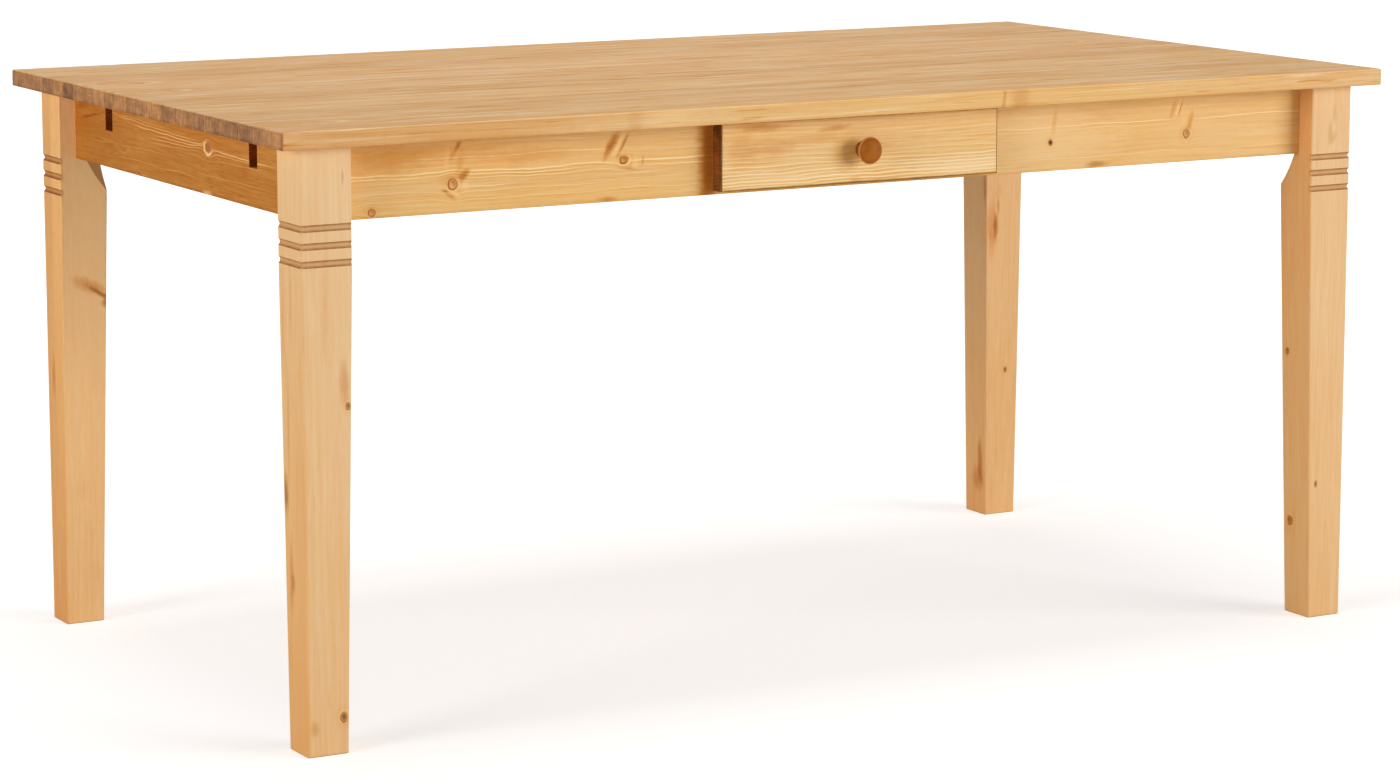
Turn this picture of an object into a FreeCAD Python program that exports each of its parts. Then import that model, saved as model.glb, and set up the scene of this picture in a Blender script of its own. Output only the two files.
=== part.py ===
"""Pine farmhouse table with one drawer and slots for extension-leaf bearers.

Millimetres, +Z up. The long side with the drawer faces -Y, the length runs along X, and the
origin is at floor level under the middle of the table. Everything at a corner is modelled for
the front-left corner (-X, -Y) and mirrored to the other three.
"""

import FreeCAD
import Part
import math
import os

Vector = FreeCAD.Vector
X_AXIS = Vector(1, 0, 0)
Y_AXIS = Vector(0, 1, 0)
Z_AXIS = Vector(0, 0, 1)

# ---------------------------------------------------------------- overall sizes
table_length = 1630.0
table_width = 912.0
table_height = 762.0

# ---------------------------------------------------------------- tabletop
top_thickness = 22.0
top_overhang_end = 32.0       # from a leg's outer face to the end of the top
top_overhang_side = 24.0      # from a leg's outer face to the long edge of the top
top_corner_radius = 3.0
top_upper_round = 2.5
top_lower_round = 1.5
# The top is edge-glued from boards of unlike width; these are their parts of the whole width.
board_parts = (129, 104, 99, 100, 132, 114, 116, 118)

# ---------------------------------------------------------------- legs
leg_size = 67.0               # square section above the taper
foot_size = 54.0              # square section at the floor; only the two inner faces taper
taper_top_drop = 150.0        # from the underside of the top down to where the taper starts
leg_outer_round = 4.0         # outer arris
leg_arris_round = 2.0         # the other three arrises
foot_ease = 1.0               # chamfer around the sole
groove_count = 3
groove_width = 8.6
groove_depth = 2.6
groove_pitch = 21.5
groove_first_drop = 97.0      # from the underside of the top to the middle of the first groove
seat_leg = 30.0               # width that the 45 degree seat takes off each inner face
runout_height = 47.0          # height of the seat's curved run-out below the aprons
runout_radius = 200.0

# ---------------------------------------------------------------- aprons
apron_thickness = 21.0
apron_height = 94.0
long_apron_inset = 27.0       # set back from the legs' outer faces
end_apron_inset = 23.5
apron_edge_round = 1.5

# ---------------------------------------------------------------- leaf-bearer slots
slot_offset = 240.0           # from the table's middle line to the slot's middle
slot_width = 25.0
slot_depth = 45.0             # from the underside of the top
cross_rail_offset = 440.0     # from the table's middle to the rail's middle
cross_rail_thickness = 20.0
cross_rail_height = 70.0
rail_dowel_edge = 12.0        # from a rail's or guide's edge to its dowels

# ---------------------------------------------------------------- corner blocks and leg bolts
block_thickness = 25.0
block_leg_gap = 8.0           # between a leg's seat and its block, so that the bolts draw the leg in
block_height = 75.0
block_top_drop = 5.0
bolt_radius = 4.0
bolt_in_leg = 45.0
bolt_beyond_nut = 5.0
bolt_spacing = 40.0
washer_radius = 10.0
washer_thickness = 2.0
nut_across_flats = 13.0
nut_height = 6.5
block_screw_bite = 8.0        # block wood left under each screw head

# ---------------------------------------------------------------- drawer
drawer_front_width = 414.0
drawer_front_thickness = 21.0
drawer_front_top_gap = 2.5    # below the top
drawer_front_lift = 5.0       # above the apron's lower edge
drawer_front_round = 2.0
cutout_half_width = 191.0     # hole in the front apron that the drawer passes
cutout_top_strip = 14.0       # apron wood left above the hole
cutout_bottom_strip = 18.0    # apron wood left below the hole
drawer_depth = 400.0
drawer_wall = 12.0
drawer_side_clearance = 1.5   # from drawer side to the edge of the hole
drawer_top_clearance = 2.5    # from drawer side to the strip above it
bottom_panel_thickness = 4.0
bottom_panel_lift = 6.0       # from the sides' lower edge to the panel
panel_groove_depth = 5.0
drawer_travel = 260.0
stop_pin_radius = 4.0
stop_pin_rise = 9.0
stop_pin_bite = 16.0
front_screw_from_end = 40.0   # from the drawer box's side to the screws in its front
front_screw_from_edge = 17.0

# ---------------------------------------------------------------- drawer guides, runners, kicker
guide_thickness = 18.0
guide_height = 58.0
runner_height = 13.0
runner_ledge = 14.0           # how far a runner reaches in under the drawer side
runner_screw_count = 4
runner_screw_from_end = 60.0
kicker_width = 40.0
kicker_clearance = 1.0        # between the kicker and the drawer back
kicker_length = 385.0
kicker_screw_from_end = 30.0

# ---------------------------------------------------------------- knob
knob_base_radius = 10.0
knob_base_height = 2.5
knob_neck_radius = 6.5
knob_neck_height = 9.0
knob_waist_swell = 0.4        # how much wider the neck is halfway to the collar
knob_head_radius = 17.5
knob_head_start = 17.5
knob_rim_height = 3.2
knob_rim_step = 1.3           # from the rim's widest circle in to the foot of the dome
knob_rim_round = 0.6
knob_back_round = 1.5
knob_base_round = 1.2
knob_flare_hollow = 1.0       # how far the flare under the head is hollowed
knob_length = 29.0
knob_screw_bite = 12.0

# ---------------------------------------------------------------- angle brackets under the top
bracket_leg = 28.0
bracket_width = 16.0
bracket_gauge = 2.0
bracket_bend_radius = 1.8
bracket_hole_offset = 18.0    # from the bracket's corner to its screw
bracket_stations = (300.0, 560.0)   # places along each long apron, both ways from the middle

# ---------------------------------------------------------------- screws, dowels and clearances
screw_radius = 2.0
screw_head_radius = 3.8
screw_head_top_radius = 2.85
screw_head_height = 2.2
screw_bite = 13.0             # thread held by the piece that a screw goes into
dowel_radius = 4.0
dowel_in_apron = 12.0
dowel_in_rail = 20.0
dowel_chamfer = 0.6
small_dowel_radius = 2.5
small_dowel_length = 30.0
small_dowel_edge = 14.0       # from the drawer side's edge to the dowel
small_dowel_sink = 2.0        # from the drawer side's outer face to the dowel's end
hole_clearance = 0.15         # around a shank, a dowel or a pin
head_clearance = 0.4          # around a screw head in its counterbore
through_clearance = 0.4       # around a bolt in a block, a washer or a bracket
slide_gap = 0.3               # between the drawer and what it rests on or closes against
guide_gap = 0.5               # between a drawer side and its guide
panel_gap = 0.1               # around the bottom panel in its grooves
hole_end_room = 0.5           # beyond the two ends of a screw or dowel
cutter_margin = 5.0           # how far a cutter reaches past the wood it cuts

# ---------------------------------------------------------------- derived places
underside = table_height - top_thickness
leg_x = table_length / 2 - top_overhang_end
leg_y = table_width / 2 - top_overhang_side
leg_inner_x = leg_x - leg_size
leg_inner_y = leg_y - leg_size
apron_bottom = underside - apron_height
front_face_y = -(leg_y - long_apron_inset)
front_inner_y = front_face_y + apron_thickness
end_face_x = -(leg_x - end_apron_inset)
end_inner_x = end_face_x + apron_thickness

cutout_low = apron_bottom + cutout_bottom_strip
cutout_high = underside - cutout_top_strip
box_half_width = cutout_half_width - drawer_side_clearance
box_low = cutout_low + slide_gap
box_high = cutout_high - drawer_top_clearance
box_front_y = front_face_y - slide_gap
box_back_y = box_front_y + drawer_depth
box_inner_y = box_front_y + drawer_wall
face_front_y = box_front_y - drawer_front_thickness
face_low = apron_bottom + drawer_front_lift
face_high = underside - drawer_front_top_gap
knob_z = (face_low + face_high) / 2
panel_low = box_low + bottom_panel_lift

# The leg's 45 degree seat and the corner block's two long faces lie on lines x + y = constant.
seat_sum = -leg_inner_x - leg_inner_y - seat_leg
block_outer_sum = seat_sum + block_leg_gap * math.sqrt(2)
block_inner_sum = block_outer_sum + block_thickness * math.sqrt(2)
block_high = underside - block_top_drop
block_low = block_high - block_height
block_middle = (block_low + block_high) / 2


# ---------------------------------------------------------------- shape helpers
def box(x0, x1, y0, y1, z0, z1):
    """Axis-aligned block between two corners."""
    return Part.makeBox(x1 - x0, y1 - y0, z1 - z0, Vector(x0, y0, z0))


def rod(start, direction, radius, length):
    """Round bar from a point along a direction."""
    return Part.makeCylinder(radius, length, start, direction)


def edges_where(shape, test):
    """Edges of a shape whose middle point passes a test."""
    return [e for e in shape.Edges if test(e.CenterOfMass)]


def near(value, target):
    """Whether two places are the same to within a tenth of a millimetre."""
    return abs(value - target) < 0.1


def mirror_x(shape):
    """The same piece on the other end of the table."""
    return shape.mirror(Vector(0, 0, 0), X_AXIS)


def mirror_y(shape):
    """The same piece on the other long side of the table."""
    return shape.mirror(Vector(0, 0, 0), Y_AXIS)


def four_corners(shape):
    """A front-left piece and its three mirror images, keyed by corner."""
    left_back = mirror_y(shape)
    return {
        "front_left": shape,
        "front_right": mirror_x(shape),
        "back_left": left_back,
        "back_right": mirror_x(left_back),
    }


def export(name, shape):
    """Write one node as a STEP file."""
    shape.exportStep(os.path.join("parts", name + ".step"))


# ---------------------------------------------------------------- fasteners
class Screw:
    """Pan-head wood screw: 'seat' is under its head, 'direction' points to its tip."""

    def __init__(self, seat, direction, grip, bite=screw_bite):
        self.seat = seat
        self.direction = direction
        self.length = grip + bite

    def solid(self):
        shank = rod(self.seat, self.direction, screw_radius, self.length)
        head_end = self.seat - self.direction * screw_head_height
        head = Part.makeCone(
            screw_head_top_radius, screw_head_radius, screw_head_height, head_end, self.direction
        )
        return shank.fuse(head).removeSplitter()

    def hole(self):
        start = self.seat - self.direction * hole_end_room
        length = self.length + 2 * hole_end_room
        return rod(start, self.direction, screw_radius + hole_clearance, length)

    def counterbore(self, reach):
        """Room for the head, open backwards over 'reach'."""
        start = self.seat - self.direction * reach
        return rod(start, self.direction, screw_head_radius + head_clearance, reach)


class Dowel:
    """Plain round pin with eased ends."""

    def __init__(self, start, direction, radius, length):
        self.start = start
        self.direction = direction
        self.radius = radius
        self.length = length

    def solid(self):
        pin = rod(self.start, self.direction, self.radius, self.length)
        return pin.makeChamfer(dowel_chamfer, [e for e in pin.Edges if isinstance(e.Curve, Part.Circle)])

    def hole(self):
        start = self.start - self.direction * hole_end_room
        length = self.length + 2 * hole_end_room
        return rod(start, self.direction, self.radius + hole_clearance, length)


# ---------------------------------------------------------------- leg
def rounded_square(size, z):
    """Level square outline from the leg's outer corner, its four arrises rounded."""
    corners = [
        (0, 0, 1, 1, leg_outer_round),
        (size, 0, -1, 1, leg_arris_round),
        (size, size, -1, -1, leg_arris_round),
        (0, size, 1, -1, leg_arris_round),
    ]
    short = 1 - math.sqrt(0.5)
    arcs = []
    for x, y, in_x, in_y, radius in corners:
        on_side = Vector(x, y + in_y * radius, z)
        on_front = Vector(x + in_x * radius, y, z)
        middle = Vector(x + in_x * radius * short, y + in_y * radius * short, z)
        ends = (on_side, on_front) if in_x * in_y > 0 else (on_front, on_side)
        arcs.append((ends[0], middle, ends[1]))
    edges = []
    for i, (start, middle, end) in enumerate(arcs):
        edges.append(Part.Arc(start, middle, end).toShape())
        edges.append(Part.makeLine(end, arcs[(i + 1) % len(arcs)][0]))
    return Part.Wire(edges)


def leg_blank():
    """Square leg, rounded at its arrises, that tapers on its inner faces, front-left corner."""
    taper_top = underside - taper_top_drop
    square = rounded_square(leg_size, taper_top)
    tapered = Part.makeLoft([rounded_square(foot_size, 0), square], True, True)
    leg = tapered.fuse(Part.Face(square).extrude(Z_AXIS * taper_top_drop)).removeSplitter()
    leg = leg.makeChamfer(foot_ease, edges_where(leg, lambda p: near(p.z, 0)))
    leg.translate(Vector(-leg_x, -leg_y, 0))
    return leg


def leg_groove_cutters():
    """Rounded grooves across the two outer faces of the front-left leg."""
    half = groove_width / 2
    radius = (half * half + groove_depth * groove_depth) / (2 * groove_depth)
    outside = radius - groove_depth
    cutters = []
    for i in range(groove_count):
        z = underside - groove_first_drop - i * groove_pitch
        start = Vector(-leg_x - outside, -leg_y - outside, z)
        length = leg_size + outside + 2 * cutter_margin
        cutters.append(rod(start - X_AXIS * cutter_margin, X_AXIS, radius, length))
        cutters.append(rod(start - Y_AXIS * cutter_margin, Y_AXIS, radius, length))
    return cutters


def leg_seat_cutter():
    """What the 45 degree seat and its curved run-out take off the leg's inner corner."""
    depth = seat_leg / math.sqrt(2)
    low = apron_bottom - runout_height
    start = Vector(0, 0, low)
    end = Vector(depth, 0, apron_bottom)
    chord = end - start
    bulge = runout_radius - math.sqrt(runout_radius**2 - (chord.Length / 2) ** 2)
    middle = (start + end) / 2 + Vector(chord.z, 0, -chord.x).normalize() * bulge
    top = table_height
    outside = -cutter_margin
    runout = Part.Arc(start, middle, end).toShape()
    rest = Part.makePolygon(
        [end, Vector(depth, 0, top), Vector(outside, 0, top), Vector(outside, 0, low), start]
    )
    cutter = Part.Face(Part.Wire([runout] + rest.Edges)).extrude(Y_AXIS * leg_size * 2)
    cutter.translate(Y_AXIS * -leg_size)
    inner_to_outer_corner = math.degrees(math.atan2(-1, -1))
    cutter.rotate(Vector(0, 0, 0), Z_AXIS, inner_to_outer_corner)
    cutter.translate(Vector(-leg_inner_x, -leg_inner_y, 0))
    return cutter


# ---------------------------------------------------------------- leg bolts and corner blocks
def diagonal_point(line_sum, z):
    """Where the leg's diagonal meets the line x + y = line_sum."""
    offset = leg_x - leg_y
    return Vector((line_sum - offset) / 2, (line_sum + offset) / 2, z)


INWARD = Vector(1, 1, 0).normalize()


def bolt_heights():
    """Heights of the two bolts in each corner."""
    return (block_middle - bolt_spacing / 2, block_middle + bolt_spacing / 2)


def leg_bolts():
    """Hanger bolts, washers and nuts of the front-left corner, with the holes they need."""
    bolts, washers, nuts, leg_holes, block_holes = [], [], [], [], []
    for z in bolt_heights():
        tip = diagonal_point(seat_sum, z) - INWARD * bolt_in_leg
        block_face = diagonal_point(block_inner_sum, z)
        nut_face = block_face + INWARD * washer_thickness
        length = (nut_face - tip).Length + nut_height + bolt_beyond_nut
        bolts.append(rod(tip, INWARD, bolt_radius, length))
        hole_start = tip - INWARD * hole_end_room
        hole_length = bolt_in_leg + hole_end_room + cutter_margin
        leg_holes.append(rod(hole_start, INWARD, bolt_radius + hole_clearance, hole_length))
        block_holes.append(rod(tip, INWARD, bolt_radius + through_clearance, length))
        ring = rod(block_face, INWARD, washer_radius, washer_thickness)
        bore_start = block_face - INWARD * cutter_margin
        bore_length = washer_thickness + 2 * cutter_margin
        bore = rod(bore_start, INWARD, bolt_radius + through_clearance, bore_length)
        washers.append(ring.cut(bore))
        nuts.append(hex_nut(nut_face))
    return bolts, washers, nuts, leg_holes, block_holes


def hex_nut(face):
    """Hexagon nut standing on a face, its axis along the leg's diagonal."""
    corner = nut_across_flats / math.sqrt(3)
    angles = [math.radians(60 * i) for i in range(7)]
    points = [Vector(corner * math.cos(a), corner * math.sin(a), 0) for a in angles]
    nut = Part.Face(Part.makePolygon(points)).extrude(Z_AXIS * nut_height)
    bore_start = Vector(0, 0, -cutter_margin)
    bore = rod(bore_start, Z_AXIS, bolt_radius + hole_clearance, nut_height + 2 * cutter_margin)
    nut = nut.cut(bore)
    nut.Placement = FreeCAD.Placement(face, FreeCAD.Rotation(Z_AXIS, INWARD))
    return nut


def block_screws():
    """Screws that hold the front-left corner block to its two aprons."""
    slant = (block_inner_sum - block_outer_sum) / 2
    screws = []
    for z in bolt_heights():
        along_x = block_inner_sum - front_inner_y - slant / 2
        along_y = block_inner_sum - end_inner_x - slant / 2
        long_seat = Vector(along_x, front_inner_y + block_screw_bite, z)
        end_seat = Vector(end_inner_x + block_screw_bite, along_y, z)
        screws.append(Screw(long_seat, -Y_AXIS, block_screw_bite))
        screws.append(Screw(end_seat, -X_AXIS, block_screw_bite))
    return screws


def corner_block():
    """Block across the front-left corner, its ends flat on the two aprons."""
    plan = [
        Vector(block_outer_sum - front_inner_y, front_inner_y, block_low),
        Vector(block_inner_sum - front_inner_y, front_inner_y, block_low),
        Vector(end_inner_x, block_inner_sum - end_inner_x, block_low),
        Vector(end_inner_x, block_outer_sum - end_inner_x, block_low),
    ]
    return Part.Face(Part.makePolygon(plan + plan[:1])).extrude(Z_AXIS * block_height)


# ---------------------------------------------------------------- aprons and rails
def long_apron():
    """Front apron without its hole: runs between the inner faces of two legs."""
    apron = box(-leg_inner_x, leg_inner_x, front_face_y, front_inner_y, apron_bottom, underside)
    lower = edges_where(apron, lambda p: near(p.z, apron_bottom) and near(p.x, 0))
    return apron.makeFillet(apron_edge_round, lower)


def end_apron():
    """Left end apron with its two bearer slots, open at the top."""
    apron = box(end_face_x, end_inner_x, -leg_inner_y, leg_inner_y, apron_bottom, underside)
    lower = edges_where(apron, lambda p: near(p.z, apron_bottom) and near(p.y, 0))
    apron = apron.makeFillet(apron_edge_round, lower)
    return apron.cut(slot_cutters(end_face_x, end_inner_x))


def slot_cutters(x0, x1):
    """The two bearer slots through a board that lies between x0 and x1."""
    low = underside - slot_depth
    high = underside + cutter_margin
    cutters = []
    for side in (-1, 1):
        middle = side * slot_offset
        y0 = middle - slot_width / 2
        y1 = middle + slot_width / 2
        cutters.append(box(x0 - cutter_margin, x1 + cutter_margin, y0, y1, low, high))
    return cutters


def cross_rail():
    """Left rail between the long aprons; its slots carry the bearers' inner ends."""
    x0 = -cross_rail_offset - cross_rail_thickness / 2
    x1 = x0 + cross_rail_thickness
    rail = box(x0, x1, front_inner_y, -front_inner_y, underside - cross_rail_height, underside)
    return rail.cut(slot_cutters(x0, x1))


def end_dowels(x, z_low, z_high):
    """Two dowels at each end of a piece that runs between the long aprons."""
    dowels = []
    for z in (z_low + rail_dowel_edge, z_high - rail_dowel_edge):
        length = dowel_in_apron + dowel_in_rail
        start = Vector(x, front_inner_y - dowel_in_apron, z)
        dowels.append(Dowel(start, Y_AXIS, dowel_radius, length))
        back = Vector(x, -front_inner_y + dowel_in_apron, z)
        dowels.append(Dowel(back, -Y_AXIS, dowel_radius, length))
    return dowels


# ---------------------------------------------------------------- drawer guides and runners
guide_inner_x = box_half_width + guide_gap
guide_outer_x = guide_inner_x + guide_thickness
guide_low = cutout_low


def drawer_guide():
    """Left guide: keeps the drawer straight, from apron to apron."""
    return box(-guide_outer_x, -guide_inner_x, front_inner_y, -front_inner_y,
               guide_low, guide_low + guide_height)


def drawer_runner():
    """Left runner: the ledge under the guide that the drawer side slides on."""
    return box(-guide_outer_x, -guide_inner_x + runner_ledge, front_inner_y, -front_inner_y,
               guide_low - runner_height, guide_low)


def runner_screws():
    """Screws up through the left runner into its guide."""
    x = -(guide_inner_x + guide_outer_x) / 2
    grip = runner_height - screw_head_height - head_clearance
    seat_z = guide_low - grip
    first_y = front_inner_y + runner_screw_from_end
    step = -2 * first_y / (runner_screw_count - 1)
    places = [first_y + i * step for i in range(runner_screw_count)]
    return [Screw(Vector(x, y, seat_z), Z_AXIS, grip) for y in places]


def drawer_kicker():
    """Strip under the top that keeps an open drawer from tipping."""
    return box(-kicker_width / 2, kicker_width / 2, front_inner_y, front_inner_y + kicker_length,
               box_high + kicker_clearance, underside)


def kicker_screws():
    """Screws up through the kicker into the top, their heads below its face."""
    seat_z = box_high + kicker_clearance + screw_head_height + head_clearance
    grip = underside - seat_z
    places = (kicker_screw_from_end, kicker_length / 2, kicker_length - kicker_screw_from_end)
    return [Screw(Vector(0, front_inner_y + p, seat_z), Z_AXIS, grip) for p in places]


# ---------------------------------------------------------------- angle brackets under the top
def bracket(corner, inward):
    """Angle bracket in the corner of an apron and the top, with its two screws."""
    across = inward.cross(Z_AXIS)
    upright = Part.makeBox(bracket_gauge, bracket_width, bracket_leg)
    flange = Part.makeBox(bracket_leg, bracket_width, bracket_gauge)
    flange.translate(Vector(0, 0, bracket_leg - bracket_gauge))
    angle = upright.fuse(flange).removeSplitter()
    bend = edges_where(angle, lambda p: near(p.x, 0) and near(p.z, bracket_leg))
    angle = angle.makeFillet(bracket_bend_radius, bend)
    angle.translate(Vector(0, -bracket_width / 2, -bracket_leg))
    angle.rotate(Vector(0, 0, 0), Z_AXIS, math.degrees(math.atan2(inward.y, inward.x)))
    angle.translate(corner)
    side_seat = corner + inward * bracket_gauge - Z_AXIS * bracket_hole_offset
    top_seat = corner + inward * bracket_hole_offset - Z_AXIS * bracket_gauge
    side_screw = Screw(side_seat, inward * -1, bracket_gauge)
    top_screw = Screw(top_seat, Z_AXIS, bracket_gauge)
    bore = screw_radius + through_clearance
    reach = bracket_gauge + 2 * cutter_margin
    holes = [
        rod(side_seat + inward * cutter_margin, inward * -1, bore, reach),
        rod(top_seat - Z_AXIS * cutter_margin, Z_AXIS, bore, reach),
    ]
    return angle.cut(holes), side_screw, top_screw


def brackets():
    """All brackets: four on each long apron and one in the middle of each end apron."""
    stations = []
    for x in bracket_stations:
        for side in (-1, 1):
            stations.append((Vector(side * x, front_inner_y, underside), Y_AXIS))
            stations.append((Vector(side * x, -front_inner_y, underside), -Y_AXIS))
    stations.append((Vector(end_inner_x, 0, underside), X_AXIS))
    stations.append((Vector(-end_inner_x, 0, underside), -X_AXIS))
    return [bracket(corner, inward) for corner, inward in stations]


# ---------------------------------------------------------------- tabletop
def tabletop_slab(holes):
    """The whole top with its rounded edges and the pilot holes in its underside."""
    half_x = table_length / 2
    half_y = table_width / 2
    slab = box(-half_x, half_x, -half_y, half_y, underside, table_height)
    middle = (underside + table_height) / 2
    slab = slab.makeFillet(top_corner_radius, edges_where(slab, lambda p: near(p.z, middle)))
    slab = slab.makeFillet(top_upper_round, edges_where(slab, lambda p: near(p.z, table_height)))
    slab = slab.makeFillet(top_lower_round, edges_where(slab, lambda p: near(p.z, underside)))
    return slab.cut(holes)


def tabletop_boards(slab):
    """The slab cut into its boards, from the drawer side to the back."""
    scale = table_width / sum(board_parts)
    boards = []
    y = -table_width / 2
    for part in board_parts:
        width = part * scale
        cell = box(-table_length, table_length, y, y + width, 0, table_height + cutter_margin)
        boards.append(slab.common(cell))
        y += width
    return boards


# ---------------------------------------------------------------- drawer
def drawer_side():
    """Left side of the drawer box, grooved for the bottom panel."""
    side = box(-box_half_width, -box_half_width + drawer_wall, box_front_y, box_back_y, box_low, box_high)
    return side.cut(panel_groove())


def panel_groove():
    """Groove that runs round the inside of the drawer box for its bottom panel."""
    return bottom_panel(panel_gap)


def bottom_panel(grown=0.0):
    """Bottom panel, held in grooves on all four sides."""
    half = box_half_width - drawer_wall + panel_groove_depth + grown
    y0 = box_inner_y - panel_groove_depth - grown
    y1 = box_back_y - drawer_wall + panel_groove_depth + grown
    return box(-half, half, y0, y1, panel_low - grown, panel_low + bottom_panel_thickness + grown)


def drawer_cross_wall(y0):
    """A wall between the drawer sides: the box front or the back."""
    half = box_half_width - drawer_wall
    return box(-half, half, y0, y0 + drawer_wall, box_low, box_high).cut(panel_groove())


def drawer_dowels():
    """Small dowels through the drawer sides into the box front and the back."""
    dowels = []
    for y in (box_front_y + drawer_wall / 2, box_back_y - drawer_wall / 2):
        for z in (box_low + small_dowel_edge + bottom_panel_thickness, box_high - small_dowel_edge):
            for side in (-1, 1):
                start = Vector(side * (box_half_width - small_dowel_sink), y, z)
                direction = Vector(-side, 0, 0)
                dowels.append(Dowel(start, direction, small_dowel_radius, small_dowel_length))
    return dowels


def stop_pins():
    """Pins on the drawer sides that meet the apron when the drawer is right out."""
    y = front_inner_y + slide_gap + stop_pin_radius + drawer_travel
    length = stop_pin_bite + stop_pin_rise
    start_z = box_high - stop_pin_bite
    x = box_half_width - drawer_wall / 2
    return [Dowel(Vector(side * x, y, start_z), Z_AXIS, stop_pin_radius, length) for side in (-1, 1)]


def drawer_front_screws():
    """Screws from inside the drawer box into the overlay front."""
    seat_y = box_inner_y - screw_head_height - head_clearance
    grip = seat_y - box_front_y
    screws = []
    for side in (-1, 1):
        for z in (box_low + front_screw_from_edge, box_high - front_screw_from_edge):
            seat = Vector(side * (box_half_width - front_screw_from_end), seat_y, z)
            screws.append(Screw(seat, -Y_AXIS, grip))
    return screws


def drawer_front():
    """Overlay front, wider and higher than the hole it covers."""
    half = drawer_front_width / 2
    front = box(-half, half, face_front_y, box_front_y, face_low, face_high)
    front_edges = edges_where(front, lambda p: near(p.y, face_front_y))
    return front.makeFillet(drawer_front_round, front_edges)


def knob():
    """Turned knob with a collar, a waisted neck and a domed head with a rim."""
    def point(radius, height):
        return Vector(radius, 0, height)

    rim_top = knob_head_start + knob_rim_height
    rim_edge = knob_head_radius - knob_rim_round
    head_back = knob_head_radius - knob_back_round
    base_shoulder = knob_base_radius - knob_base_round
    base_side = knob_base_height - knob_base_round
    dome_foot = knob_head_radius - knob_rim_step
    dome_rise = knob_length - rim_top
    dome_radius = (dome_foot**2 + dome_rise**2) / (2 * dome_rise)
    half_turn = math.asin(dome_foot / dome_radius) / 2
    dome_middle = point(dome_radius * math.sin(half_turn),
                        knob_length - dome_radius * (1 - math.cos(half_turn)))
    waist = (knob_base_height + knob_neck_height) / 2
    flare = (knob_neck_height + knob_head_start) / 2
    flare_radius = (knob_neck_radius + head_back) / 2 - knob_flare_hollow
    edges = [
        Part.makeLine(point(0, 0), point(knob_base_radius, 0)),
        Part.makeLine(point(knob_base_radius, 0), point(knob_base_radius, base_side)),
        Part.makeLine(point(knob_base_radius, base_side), point(base_shoulder, knob_base_height)),
        Part.Arc(point(base_shoulder, knob_base_height),
                 point(knob_neck_radius + knob_waist_swell, waist),
                 point(knob_neck_radius, knob_neck_height)).toShape(),
        Part.Arc(point(knob_neck_radius, knob_neck_height),
                 point(flare_radius, flare + knob_flare_hollow),
                 point(head_back, knob_head_start)).toShape(),
        Part.Arc(point(head_back, knob_head_start),
                 point(knob_head_radius, (knob_head_start + rim_top) / 2),
                 point(rim_edge, rim_top)).toShape(),
        Part.makeLine(point(rim_edge, rim_top), point(dome_foot, rim_top)),
        Part.Arc(point(dome_foot, rim_top), dome_middle, point(0, knob_length)).toShape(),
        Part.makeLine(point(0, knob_length), point(0, 0)),
    ]
    turned = Part.Face(Part.Wire(edges)).revolve(Vector(0, 0, 0), Z_AXIS, 360)
    turned.rotate(Vector(0, 0, 0), X_AXIS, 90)
    turned.translate(Vector(0, face_front_y, knob_z))
    return turned


def knob_screw():
    """Machine screw from inside the drawer, through both fronts, into the knob."""
    seat_y = box_inner_y - screw_head_height - head_clearance
    grip = seat_y - face_front_y
    return Screw(Vector(0, seat_y, knob_z), -Y_AXIS, grip, knob_screw_bite)


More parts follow.
